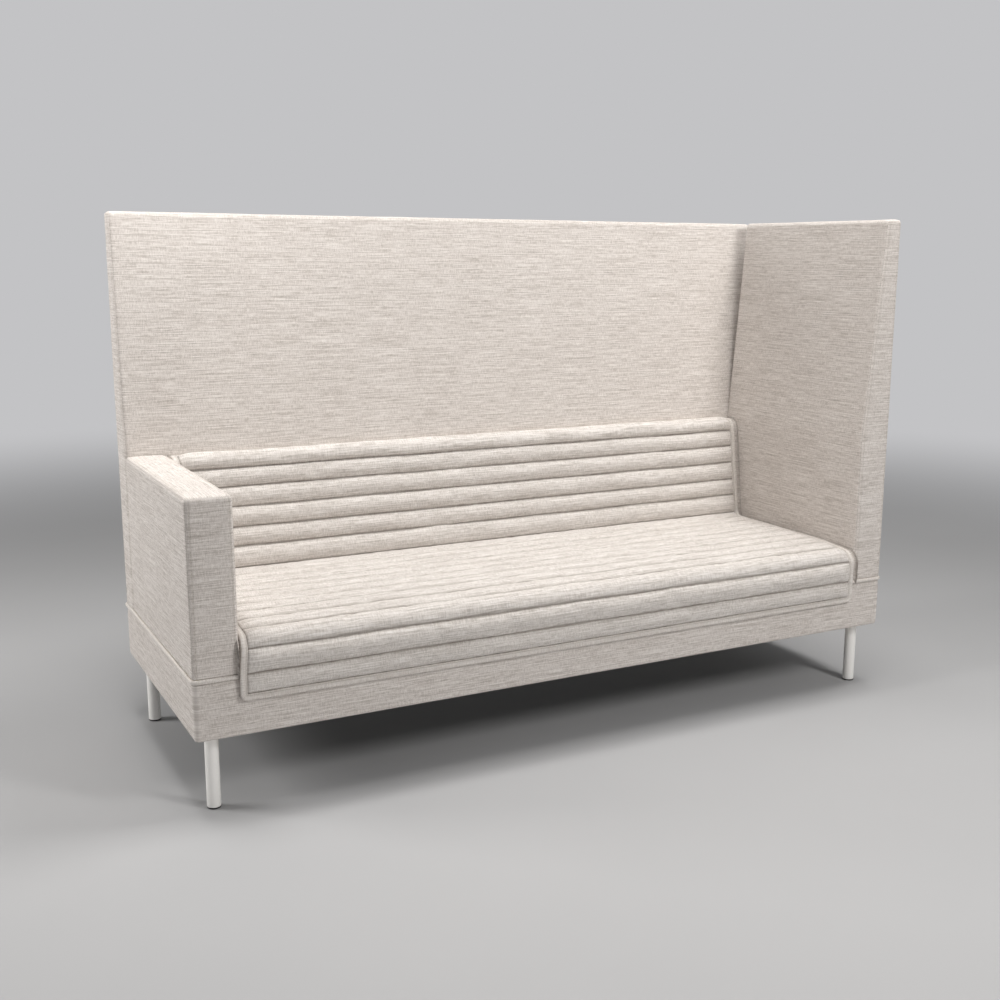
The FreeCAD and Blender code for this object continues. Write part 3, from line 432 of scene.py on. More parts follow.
def panel_point(run, rise, along, inward, height, ends, tall, seed):
    """Moves points of a square-edged panel onto its padded form. A point is given by its
    distance along the panel, its depth from the outer face and its height.

    A point is pulled to the nearest point of a core that is set in by the edge radius, and then
    pushed out by the radius along the line between them, which rounds the edges. Then it moves
    along its normal: out by a broad billow that dies at the edges, in at the stitched rows of
    the strip, out at the ridge where strip and face are sewn together, and by slow noise."""
    radius = sizes().edge_radius
    depth = panel_depth(height, tall)
    point = np.stack([along, inward, height], axis=-1)
    reach_low = np.array([ends[0], radius, 2.5 * MM])
    reach_high = np.array([ends[1], radius, radius])
    low = np.stack([0 * depth, 0 * depth, 0 * depth + BASE_TOP], axis=-1) + reach_low
    high = np.stack([0 * depth + run, depth, 0 * depth + BASE_TOP + rise], axis=-1) - reach_high
    core = np.clip(point, low, high)
    away = point - core
    reach = np.where(away < 0, reach_low, reach_high)
    share = away / reach
    size = np.maximum(np.linalg.norm(share, axis=-1, keepdims=True), 1e-9)
    placed = core + away / np.maximum(size, 1.0)
    normal = share / reach
    normal /= np.maximum(np.linalg.norm(normal, axis=-1, keepdims=True), 1e-9)

    top = BASE_TOP + rise
    face = np.abs(normal[..., 1])
    strip = 1 - face
    edge = np.minimum.reduce([along, run - along, top - height, height - BASE_TOP + 0.02])
    swell = sizes().billow * smooth_step(0.0, 0.16, edge) * face
    swell = swell + 0.0006 * ripple(seed, 0.35, along, height, inward)
    swell = swell + 0.0003 * ripple(seed + 1, 0.09, along, height, inward)
    # across the strip: distance from the nearer face
    across = np.minimum(inward, depth - inward)
    half = depth / 2
    swell = swell + strip * 0.0012 * np.sin(np.clip(across / half, 0, 1) * math.pi / 2)
    swell = swell + strip * 0.0007 * hump(across, 4.2 * MM, 2.2 * MM)
    groove = strip * hump(across, sizes().stitch_inset, 1.1 * MM)
    swell = swell - 0.0007 * groove
    # on the face: the sewn seam lies one edge radius in from the strip
    from_edge = np.minimum.reduce([along + (1 if ends[0] < radius else 0),
                                   run - along + (1 if ends[1] < radius else 0), top - height])
    seam = face * hump(from_edge, 2.6 * MM, 1.0 * MM)
    swell = swell - 0.0005 * seam
    placed = placed + normal * swell[..., None]
    if not tall:
        placed[..., 1] += arm_ease(placed, run)
    # painted shade: the colour darkens along the stitched rows, the sewn seam and the panel's foot
    # on the base
    foot = hump(height, BASE_TOP, 2.2 * MM)
    return placed, np.clip(0.30 * groove + 0.42 * seam + 0.35 * foot, 0, 1)


def arm_ease(placed, run):
    """How far the arm's inner face swells out, in proportion to the forward distance."""
    forward = np.clip(1 - placed[..., 0] / run, 0, 1)
    inner = np.clip(placed[..., 1] / PANEL_DEPTH, 0, 1)
    return inner * 6 * MM * (0.4 + 0.6 * forward)


def panel_surface(run, rise, ends, tall, seed, to_world):
    """A closed padded panel: six grids over a square-edged box, moved by panel_point. The cloth
    lies with its level threads along each face."""
    top = BASE_TOP + rise
    along = spaced(0, run, EDGE_STEPS, 0.022)
    extra = np.linspace(-0.02, 0.02, 5) + sizes().knee_height if tall else np.array([])
    height = spaced(BASE_TOP, top, EDGE_STEPS, 0.022)
    height = np.unique(np.round(np.concatenate([height, extra]), 6))
    surface = Surface()

    def put(a, b, c, cloth):
        placed, seam = panel_point(run, rise, a, b, c, ends, tall, seed)
        surface.add_grid(to_world(placed), np.stack(cloth, axis=-1), seam)

    a, c = np.meshgrid(along, height, indexing="ij")
    put(a, 0 * a, c, (a, c))
    put(a, panel_depth(c, tall), c, (a + 3.1, c))

    def across(depth):
        """Grid lines over the strip: the same steps from both faces, and one in the middle."""
        near = STRIP_STEPS.reshape((-1,) + (1,) * depth.ndim)
        far = near[::-1]
        middle = depth[None] / 2
        return np.concatenate([near + 0 * depth[None], middle, depth[None] - far])

    b = across(panel_depth(height, tall))
    c = np.broadcast_to(height, b.shape)
    put(0 * b, b, c, (b + 1.3, c))
    put(0 * b + run, b, c, (b + 1.7, c))
    b = across(np.full(len(along), panel_depth(np.array([top]), tall)[0]))
    a = np.broadcast_to(along, b.shape)
    put(a, b, 0 * b + top, (a + 0.4, b + 2.2))
    b = across(np.full(len(along), PANEL_DEPTH))
    put(a, b, 0 * b + BASE_TOP, (a, b))
    return surface


def stitch_row(points, ways, normals, size=(5.0 * MM, 0.9 * MM)):
    """Short threads: each is a six-sided spindle with five rings, laid on a point along its way.
    Ring radius follows the square root of a parabola, so both ends close."""
    ring = np.array([-1, -0.8, 0, 0.8, 1.0])
    swell = np.sqrt(np.maximum(1 - ring ** 2, 0.0))
    turn = np.arange(6) * math.pi / 3
    side = np.cross(normals, ways)
    centre = points[:, None, None, :]
    along = (ring * size[0] / 2)[None, :, None, None] * ways[:, None, None, :]
    out = (swell[:, None] * np.cos(turn))[None, :, :, None] * side[:, None, None, :]
    up = (swell[:, None] * np.sin(turn))[None, :, :, None] * normals[:, None, None, :]
    return centre + along + (out + up) * size[1] / 2


def add_stitches(surface, rows):
    """Adds a batch of stitches, given as (count, rings, sides, 3) points."""
    for stitch in rows:
        surface.add_grid(stitch, loop_columns=True)


PANEL_FRAMES = {
    # run, rise, radius at both ends, tall, seed, world from (along, inward, height)
    "arm": (ARM_HIGH[1] - ARM_LOW[1], ARM_HIGH[2] - ARM_LOW[2], (10 * MM, 3 * MM), False, 11,
            lambda p: np.stack([ARM_LOW[0] + p[..., 1], ARM_LOW[1] + p[..., 0], p[..., 2]], -1)),
    "wing": (WING_HIGH[1] - WING_LOW[1], WING_HIGH[2] - WING_LOW[2], (3 * MM, 10 * MM), True, 23,
             lambda p: np.stack([WING_HIGH[0] - p[..., 1], WING_HIGH[1] - p[..., 0],
                                 p[..., 2]], -1)),
    "back": (BACK_HIGH[0] - BACK_LOW[0], BACK_HIGH[2] - BACK_LOW[2], (10 * MM, 10 * MM), True,
             37, lambda p: np.stack([BACK_HIGH[0] - p[..., 0], BACK_HIGH[1] - p[..., 1],
                                     p[..., 2]], -1)),
}


def strip_stitches(run, rise, ends, tall, seed, to_world, surface):
    """Two rows of stitches along each strip that shows: up the free ends and over the top."""
    inset, pitch = sizes().stitch_inset, sizes().stitch_pitch
    top = BASE_TOP + rise
    height = np.arange(BASE_TOP + 0.012, top - 0.014, pitch)
    along = np.arange(0.014, run - 0.014, pitch)
    lines = []
    for end, radius, outward in ((0.0, ends[0], -1.0), (run, ends[1], 1.0)):
        if radius < sizes().edge_radius:
            continue
        for from_inner in (False, True):
            depth = panel_depth(height, tall)
            b = depth - inset if from_inner else 0 * depth + inset
            lines.append((0 * height + end, b, height, (0, 0, 1), (outward, 0, 0)))
    depth = panel_depth(np.array([top]), tall)[0]
    for b in (inset, depth - inset):
        lines.append((along, 0 * along + b, 0 * along + top, (1, 0, 0), (0, 0, 1)))
    origin = to_world(np.zeros(3))
    for a, b, c, way, normal in lines:
        placed, _ = panel_point(run, rise, a, b, c, ends, tall, seed)
        world = to_world(placed)
        way = np.broadcast_to(to_world(np.array(way, float)) - origin, world.shape)
        normal = np.broadcast_to(to_world(np.array(normal, float)) - origin, world.shape)
        add_stitches(surface, stitch_row(world + normal * 0.2 * MM, way, normal))


class SETTEE_OT_panels(bpy.types.Operator):
    """Makes the padded covers of the arm, the wing and the back, with their stitched seams"""
    bl_idname = "settee.panels"
    bl_label = "Arm, wing and back"

    def execute(self, context):
        for name, (run, rise, ends, tall, seed, to_world) in PANEL_FRAMES.items():
            surface = panel_surface(run, rise, ends, tall, seed, to_world)
            cover = surface.build(f"{name}_upholstery", MATERIALS["cover"])
            place_piece(cover, "settee", "cover_cloth", f"{name}_cover")
            threads = Surface()
            strip_stitches(run, rise, ends, tall, seed, to_world, threads)
            row = threads.build(f"{name}_stitching", MATERIALS["thread"], merge=1e-6)
            place_piece(row, "settee", "cover_cloth")
        return {"FINISHED"}


# Base

def round_rectangle(inset, radius, steps=10, pitch=0.02):
    """Points and outward normals round a level rectangle with rounded corners, anticlockwise from
    above, set in by a distance. Each side is divided evenly and each corner is a quarter arc."""
    low, high = SKIRT_LOW[:2], SKIRT_HIGH[:2]
    middle, half = (low + high) / 2, (high - low) / 2
    core = half - max(radius, inset)
    bend = max(radius - inset, 0.0)
    turns, centres = [], []
    for quarter, (x, y) in enumerate(((1, 1), (-1, 1), (-1, -1), (1, -1))):
        angle = np.radians(90 * quarter) + np.linspace(0, math.pi / 2, steps)
        turns.append(angle)
        centres.append(np.tile(core * (x, y), (steps, 1)))
    points, normals = [], []
    for quarter in range(4):
        normal = np.stack([np.cos(turns[quarter]), np.sin(turns[quarter])], -1)
        corner = centres[quarter] + normal * bend
        following = (quarter + 1) % 4
        start = centres[following][0] + bend * np.array([math.cos(turns[following][0]),
                                                         math.sin(turns[following][0])])
        span = half[0] * 2 if quarter % 2 == 0 else half[1] * 2
        count = int(round(span / pitch))
        part = np.linspace(0, 1, count + 2)[1:-1, None]
        side = corner[-1] + (start - corner[-1]) * part
        points += [corner, side]
        normals += [normal, np.tile(normal[-1], (count, 1))]
    return np.concatenate(points) + middle, np.concatenate(normals)


def swept_round_base(profile, radius):
    """A profile of (inset, height) carried round the base. Returns the grid with the profile
    along its rows, the distance round and the outward normals."""
    rings = [round_rectangle(inset, radius) for inset, _ in profile]
    flat = np.stack([ring[0] for ring in rings])
    height = np.array([height for _, height in profile])[:, None]
    grid = np.concatenate([flat, np.broadcast_to(height, flat.shape[:2])[..., None]], -1)
    step = np.linalg.norm(np.diff(flat[0], axis=0, append=flat[0][:1]), axis=-1)
    distance = np.concatenate([[0], np.cumsum(step)[:-1]])
    normal = np.concatenate([rings[0][1], np.zeros((flat.shape[1], 1))], -1)
    return grid, distance, normal


class SETTEE_OT_base(bpy.types.Operator):
    """Makes the base's skirt, the padded roll on its top edge, the dust cloth and the bare tab"""
    bl_idname = "settee.base"
    bl_label = "Base"

    def execute(self, context):
        self.skirt()
        self.roll()
        self.dust_cloth()
        self.tab()
        return {"FINISHED"}

    def skirt(self):
        """A profile carried round the base: up the face, in under the roll, and turned under at
        the foot. A wall inside closes it. The face moves by slow noise and draws in a little at
        its top and foot."""
        low, high = SKIRT_LOW[2], SKIRT_HIGH[2]
        outer = [(30, 0.3), (24, 0.2), (16, 0.2), (10, 0.3), (6, 0.7), (3.5, 1.9), (1.6, 3.8),
                 (0.6, 6), (0.2, 9), (0, 13)]
        outer = [(inset * MM, low + up * MM) for inset, up in outer]
        outer += [(0.0, low + up) for up in np.linspace(0.018, high - low - 0.012, 18)]
        outer += [(0.0, high - 8 * MM), (0.1 * MM, high - 5 * MM), (0.3 * MM, high - 2.5 * MM),
                  (0.6 * MM, high - 0.8 * MM), (1.2 * MM, high - 0.1 * MM)]
        inner = [(1.2 * MM, high - 0.1 * MM), (1.3 * MM, low + 0.02), (9 * MM, low + 2.6 * MM),
                 (30 * MM, low + 1.6 * MM), (30 * MM, low + 0.3 * MM)]
        surface = Surface()
        for profile, plain in ((outer, False), (inner, True)):
            grid, distance, normal = swept_round_base(profile, 12 * MM)
            height = grid[..., 2]
            around = np.broadcast_to(distance, height.shape)
            if not plain:
                face = smooth_step(low + 0.004, low + 0.03, height) \
                    * (1 - smooth_step(high - 0.03, high - 0.004, height))
                move = face * (0.0010 + 0.0008 * ripple(5, 0.35, around, height)
                               + 0.0003 * ripple(6, 0.08, around, height))
                grid = grid + normal[None] * move[..., None]
            cloth = np.stack([around, height], -1)
            # painted shade along the skirt's top, under the roll
            seam = 0.35 * hump(height, high - 1.0 * MM, 2.0 * MM) * (not plain)
            surface.add_grid(grid, cloth, seam, loop_columns=True)
        skirt = surface.build("base_skirt", MATERIALS["cover"])
        place_piece(skirt, "settee", "cover_cloth", "base_cover")

    def roll(self):
        """A closed half-round profile carried round the base's top edge. Its radius swells and
        shrinks by noise, as a strip of cloth folded over a cord does."""
        low, high = cad_box("base_top_lip")
        foot, top = low[2], high[2]
        # the crest rises into the rounded foot of the panels and closes the joint
        crest = 0.8 * MM
        middle, half = (foot + top + crest) / 2, (top + crest - foot) / 2
        turn = np.radians(np.linspace(-90, 90, 13))
        proud, depth = 5.2 * MM, 10 * MM
        bulge = 5.8 * MM
        profile = [(bulge - proud - bulge * max(math.cos(t), 0) ** 0.7,
                    middle + half * math.sin(t)) for t in turn]
        profile += [(1.6 * MM, top - 0.2 * MM), (depth, top - 0.2 * MM), (depth, foot)]
        profile = [(max(inset, -proud), height) for inset, height in profile]
        grid, distance, normal = swept_round_base(profile, 12 * MM)
        around = np.broadcast_to(distance, grid.shape[:2])
        outer = np.array([1.0] * 13 + [0.0] * 3)[:, None]
        pinch = outer * (0.0003 * ripple(7, 0.028, around) + 0.0004 * ripple(8, 0.2, around))
        grid = grid + normal[None] * pinch[..., None]
        cloth = np.stack([around, np.broadcast_to(np.linspace(0, 0.03, 16)[:, None],
                                                  around.shape)], -1)
        surface = Surface()
        surface.add_grid(grid, cloth, loop_rows=True, loop_columns=True)
        roll = surface.build("base_top_roll", MATERIALS["edging"])
        place_piece(roll, "settee", "cover_cloth", "base_top_lip")

    def dust_cloth(self):
        """A level sheet, notched at the corner blocks, that sags by a cosine between its edges."""
        low, high = cad_box("dust_cover")
        notch = 61.5 * MM
        x = np.unique(np.concatenate([np.linspace(low[0], high[0], 49),
                                      [low[0] + notch, high[0] - notch]]))
        y = np.unique(np.concatenate([np.linspace(low[1], high[1], 21),
                                      [low[1] + notch, high[1] - notch]]))
        gx, gy = np.meshgrid(x, y, indexing="ij")
        u, v = (gx - low[0]) / (high[0] - low[0]), (gy - low[1]) / (high[1] - low[1])
        sag = 0.0035 * np.sin(math.pi * u) ** 0.5 * np.sin(math.pi * v) ** 0.7
        sag = sag + 0.0008 * ripple(9, 0.25, gx, gy) * np.sin(math.pi * u) * np.sin(math.pi * v)
        grid = np.stack([gx, gy, low[2] + 0.0008 - np.abs(sag)], -1)
        quads = grid_quads(len(x), len(y))
        middle = grid.reshape(-1, 3)[quads].mean(axis=1)
        cut = ((np.minimum(middle[:, 0] - low[0], high[0] - middle[:, 0]) < notch)
               & (np.minimum(middle[:, 1] - low[1], high[1] - middle[:, 1]) < notch))
        surface = Surface()
        surface.add_grid(grid, np.stack([gx, gy], -1))
        surface.quads = [quads[~cut]]
        cloth = surface.build("dust_cloth", MATERIALS["lining"], closed=False)
        thicken(cloth, 0.6 * MM)
        place_piece(cloth, "settee", "lining_cloth", "dust_cover")

    def tab(self):
        """A folded tape: a strip whose section is a flat loop, rounded at the fold. It curls away
        from the side by a power of the distance from its upper end."""
        low, high = cad_box("label_tab")
        middle = (low + high) / 2
        turn = np.radians(np.linspace(0, 360, 17))[:-1]
        along = np.linspace(low[2], high[2], 12)
        thick, half = high[0] - low[0], (high[1] - low[1]) / 2
        lift = thick * (0.55 + 0.45 * np.abs(np.cos(turn)) ** 0.3 * np.sign(np.cos(turn)))
        side = half * np.sign(np.sin(turn)) * np.abs(np.sin(turn)) ** 0.4
        curl = 6.5 * MM * (1 - (along - low[2]) / (high[2] - low[2])) ** 1.4
        grid = np.stack([low[0] + 1.8 * MM + lift[None] + curl[:, None],
                         middle[1] + side[None] + 0 * curl[:, None],
                         np.broadcast_to(along[:, None], (12, 16))], -1)
        surface = Surface()
        cloth = np.stack([np.broadcast_to(side, grid.shape[:2]), grid[..., 2]], -1)
        surface.add_grid(grid, cloth, loop_columns=True)
        surface.cap(grid[0])
        surface.cap(grid[-1])
        tab = surface.build("side_tab", MATERIALS["tab"])
        place_piece(tab, "settee", "tab_cloth", "label_tab")


def thicken(piece, thickness):
    """Gives a sheet its thickness with a Solidify modifier, which stays live."""
    wall = piece.modifiers.new("thickness", "SOLIDIFY")
    wall.thickness, wall.offset = thickness, 0.0


# Seat, back cushion and mat: all follow one line seen from the side

class SideLine:
    """A line in the Y-Z plane made of straights and arcs, read at many distances at once.

    Its heading is the angle below level, facing the front. On a straight a point moves on along
    the heading. On an arc of radius r the heading grows by distance / r and the point moves by r
    times the change of the heading's sine and cosine."""

    def __init__(self, y, z):
        self.steps, self.length, self.y, self.z, self.heading = [], 0.0, y, z, 0.0

    def straight(self, length):
        self.step(length, math.inf)

    def bend(self, radius, angle):
        self.step(abs(radius * angle), radius)

    def step(self, length, radius):
        self.steps.append((self.length, radius, self.y, self.z, self.heading))
        self.length += length
        (y, z), heading = self.follow(np.array([self.length]))
        self.y, self.z, self.heading = y[0], z[0], heading[0]

    def follow(self, distance):
        """Places and headings at distances along the line."""
        table = np.array(self.steps)
        row = table[np.clip(np.searchsorted(table[:, 0], distance, side="right") - 1, 0,
                            len(table) - 1)]
        gone = distance - row[..., 0]
        bent = np.isfinite(row[..., 1])
        radius = np.where(bent, row[..., 1], 1.0)
        start = row[..., 4]
        heading = np.where(bent, start + gone / radius, start)
        y = np.where(bent, row[..., 2] + radius * (np.sin(start) - np.sin(heading)),
                     row[..., 2] - gone * np.cos(start))
        z = np.where(bent, row[..., 3] + radius * (np.cos(heading) - np.cos(start)),
                     row[..., 3] - gone * np.sin(start))
        return (y, z), heading


LEAN = math.radians(90 - 8.4)
CUSHION_ROLL, SEAT_NOSE = 20 * MM, 30 * MM
SEAT_FALL, SEAT_FALL_RADIUS = math.radians(5.9), 1.5
CREASE_RADIUS = 30 * MM
# the back cushion's padding stands a little above the foam's own height
PLUMP = 6 * MM


def over_cushion(line, gap, low):
    """Runs a line over the back cushion's top and down its leaning front to a height."""
    roll = CUSHION_ROLL + gap
    foot_y = CUSHION_LOW[1]
    centre_z = line.z - roll
    centre_y = foot_y + (math.cos(LEAN) * (centre_z - SEAT_HIGH[2]) + CUSHION_ROLL) \
        / math.sin(LEAN)
    line.straight(line.y - centre_y)
    line.bend(roll, LEAN)
    line.straight((line.z - low) / math.sin(LEAN))


def over_seat(line, gap, front, nose, foot):
    """Runs a level line forwards along the seat, round its nose and down to a height."""
    fall_radius = SEAT_FALL_RADIUS + gap
    line.straight(line.y - (front + nose + (fall_radius - nose) * math.sin(SEAT_FALL)))
    line.bend(fall_radius, SEAT_FALL)
    line.bend(nose, math.pi / 2 - SEAT_FALL)
    line.straight(line.z - foot)


def padded_block(points, normals, low_x, high_x, radius, seed):
    """Rings of a closed outline carried along X. Near both ends the outline is set in along a
    quarter circle, so the end is rounded, and a cap closes it."""
    edge = radius * (1 - np.cos(np.linspace(0, math.pi / 2, 8)))
    x = np.concatenate([low_x + edge, np.linspace(low_x + radius, high_x - radius, 90)[1:-1],
                        high_x - edge[::-1]])
    off = np.minimum(x - low_x, high_x - x)
    inset = radius - np.sqrt(np.maximum(radius ** 2 - np.maximum(radius - off, 0) ** 2, 0))
    inset = inset * 0.9
    around = np.concatenate([[0], np.cumsum(np.linalg.norm(np.diff(points, axis=0), axis=-1))])
    gx, ga = np.meshgrid(x, around, indexing="ij")
    move = -inset[:, None] + 0.0008 * (ripple(seed, 0.3, gx, ga) - 1)
    yz = points[None] + normals[None] * move[..., None]
    grid = np.concatenate([gx[..., None], yz], -1)
    surface = Surface()
    # painted shade near both rounded ends, through the seam attribute
    surface.add_grid(grid, np.stack([gx, ga], -1), 0.5 * hump(off, 0, 3 * MM)[:, None]
                     + 0 * ga, loop_columns=True)
    surface.cap(grid[0])
    surface.cap(grid[-1])
    return surface


def closed_outline(line, rear, foot, spacing=0.010):
    """The points and outward normals of an outline: a side line, then straight down to the foot,
    back and up the rear."""
    distance = np.linspace(0, line.length, int(line.length / spacing))
    (y, z), _ = line.follow(distance)
    corners = np.array([(y[-1], foot), (rear, foot), (rear, z[0])])
    points = [np.stack([y, z], -1)]
    start = points[0][-1]
    for corner in corners:
        count = max(int(np.linalg.norm(corner - start) / spacing), 1)
        part = np.linspace(0, 1, count + 1)[1:, None]
        points.append(start + (corner - start) * part)
        start = corner
    points = np.concatenate(points)[:-1]
    keep = np.linalg.norm(points - np.roll(points, 1, axis=0), axis=-1) > 1e-5
    points = points[keep]
    tangent = np.roll(points, -1, axis=0) - np.roll(points, 1, axis=0)
    tangent /= np.linalg.norm(tangent, axis=-1, keepdims=True)
    return points, np.stack([tangent[:, 1], -tangent[:, 0]], -1)


class SETTEE_OT_seat(bpy.types.Operator):
    """Makes the padded seat and the back cushion"""
    bl_idname = "settee.seat"
    bl_label = "Seat and back cushion"

    def execute(self, context):
        spare = 0.4 * MM
        line = SideLine(BACK_FACE - spare, SEAT_HIGH[2] - spare)
        over_seat(line, -spare, SEAT_LOW[1] + spare, SEAT_NOSE - spare, SEAT_LOW[2] + 0.012)
        points, normals = closed_outline(line, BACK_FACE - spare, SEAT_LOW[2] + spare)
        surface = padded_block(points, -normals, SEAT_LOW[0] + spare, SEAT_HIGH[0] - spare,
                               16 * MM, 51)
        seat = surface.build("seat_cushion", MATERIALS["cover"])
        place_piece(seat, "settee", "cover_cloth", "seat_cover")

        line = SideLine(BACK_FACE - spare, CUSHION_HIGH[2] + PLUMP - spare)
        over_cushion(line, -spare, CUSHION_LOW[2] + spare)
        points, normals = closed_outline(line, BACK_FACE - spare, CUSHION_LOW[2] + spare)
        surface = padded_block(points, -normals, CUSHION_LOW[0] + spare, CUSHION_HIGH[0] - spare,
                               16 * MM, 61)
        back = surface.build("back_cushion", MATERIALS["cover"])
        place_piece(back, "settee", "cover_cloth", "back_cushion_cover")
        return {"FINISHED"}


class MatForm:
    """Where the mat lies: a side line with a soft crease between back cushion and seat, and the
    distances of its seams, counted as the CAD counts them, along the same line with a sharp
    crease."""

    def __init__(self):
        gap = 0.3 * MM
        top = CUSHION_HIGH[2] + PLUMP + gap
        self.low_x, self.high_x = MAT_LOW[0], MAT_HIGH[0]
        front = SEAT_LOW[1] - 2.5 * MM
        nose = SEAT_NOSE + 2 * MM
        foot = MAT_LOW[2] + 2 * MM
        sharp = SideLine(BACK_FACE - 0.5 * MM, top)
        over_cushion(sharp, gap, SEAT_HIGH[2] + gap)
        self.crease = sharp.length
        sharp.heading = 0.0
        over_seat(sharp, gap, front, nose, foot)
        self.length = sharp.length

        trim = CREASE_RADIUS * math.tan(LEAN / 2)
        soft = SideLine(BACK_FACE - 0.5 * MM, top)
        over_cushion(soft, gap, SEAT_HIGH[2] + gap + trim * math.sin(LEAN))
        soft.bend(-CREASE_RADIUS, LEAN)
        self.crease_arc = CREASE_RADIUS * LEAN
        over_seat(soft, gap, front, nose, foot)
        self.line = soft
        self.trim = trim
        self.drop = self.length - (sharp.steps[-1][0])

    def lay(self, distance, x, lift):
        """World points of the mat at distances along it, at X, lifted square off the line. The
        hem hangs lower at mid-span: the drop is stretched by a sine across the mat."""
        keys = [0, self.crease - self.trim, self.crease + self.trim, self.length]
        bent = [0, self.crease - self.trim, self.crease - self.trim + self.crease_arc,
                self.line.length]
        across = np.clip((x - self.low_x) / (self.high_x - self.low_x), 0, 1)
        along = np.interp(distance, keys, bent)
        # behind the arm's front the left edge is pushed in by the arm's swollen face
        pressed = 7 * MM * (1 - smooth_step(-0.16, -0.05, along - self.line.length))
        x = x + pressed * (1 - smooth_step(0.0, 0.15, x - self.low_x))
        nose_end = self.line.length - self.drop
        part = np.clip((along - nose_end) / self.drop, 0, 1)
        along = along + sizes().hem_dip * np.sin(math.pi * across) * part
        (y, z), heading = self.line.follow(along)
        return np.stack([x + 0 * y, y - lift * np.sin(heading),
                         z + lift * np.cos(heading)], -1)

    def seams(self):
        """Distances of the sewn seams, from the rear binding to the hem's."""
        hem, pitch = sizes().binding_width, sizes().channel_pitch
        count = int((self.length - 2 * hem) // pitch)
        stops = np.array([hem] + [self.length - hem - pitch * index
                                  for index in range(count, -1, -1)])
        # the sewn lines stray from the even pitch: on the back part, and by one step on the rest
        stray = np.full(len(stops), 9.0)
        stray[0], stray[-1] = 0.0, 0.0
        stray[1:7] = 12.0, 6.0, 3.5, 2.0, -3.0, 2.0
        return stops + stray * MM


def inflated(grid, held, pressure, most, frames=14):
    """A cloth simulation of a sewn layer: the points on the seams are held, the rest is pushed
    out by an even pressure without gravity, with a little spare cloth so that it puckers. No
    point moves further than the most that is given."""
    rows, columns = grid.shape[:2]
    mesh = bpy.data.meshes.new("layer")
    mesh.from_pydata(grid.reshape(-1, 3).tolist(), [], grid_quads(rows, columns)[:, ::-1].tolist())
    layer = bpy.data.objects.new("layer", mesh)
    bpy.context.scene.collection.objects.link(layer)
    group = layer.vertex_groups.new(name="sewn")
    group.add(np.flatnonzero(held.ravel()).tolist(), 1.0, "REPLACE")
    cloth = layer.modifiers.new("cloth", "CLOTH")
    cloth.settings.vertex_group_mass = "sewn"
    cloth.settings.effector_weights.gravity = 0.0
    cloth.settings.use_pressure = True
    cloth.settings.uniform_pressure_force = pressure
    cloth.settings.shrink_min = -0.004
    cloth.settings.quality = 4
    cloth.collision_settings.use_collision = False
    cloth.point_cache.frame_end = frames
    for number in range(1, frames + 1):
        bpy.context.scene.frame_set(number)
    shaped = layer.evaluated_get(bpy.context.evaluated_depsgraph_get())
    points = np.empty(len(shaped.data.vertices) * 3, dtype=np.float32)
    shaped.data.vertices.foreach_get("co", points)
    bpy.data.objects.remove(layer)
    bpy.context.scene.frame_set(1)
    move = points.reshape(grid.shape).astype(float) - grid
    if not np.isfinite(move).all():
        raise RuntimeError("the cloth simulation ran away")
    size = np.linalg.norm(move, axis=-1, keepdims=True)
    return grid + move * np.minimum(1, most / np.maximum(size, 1e-9))


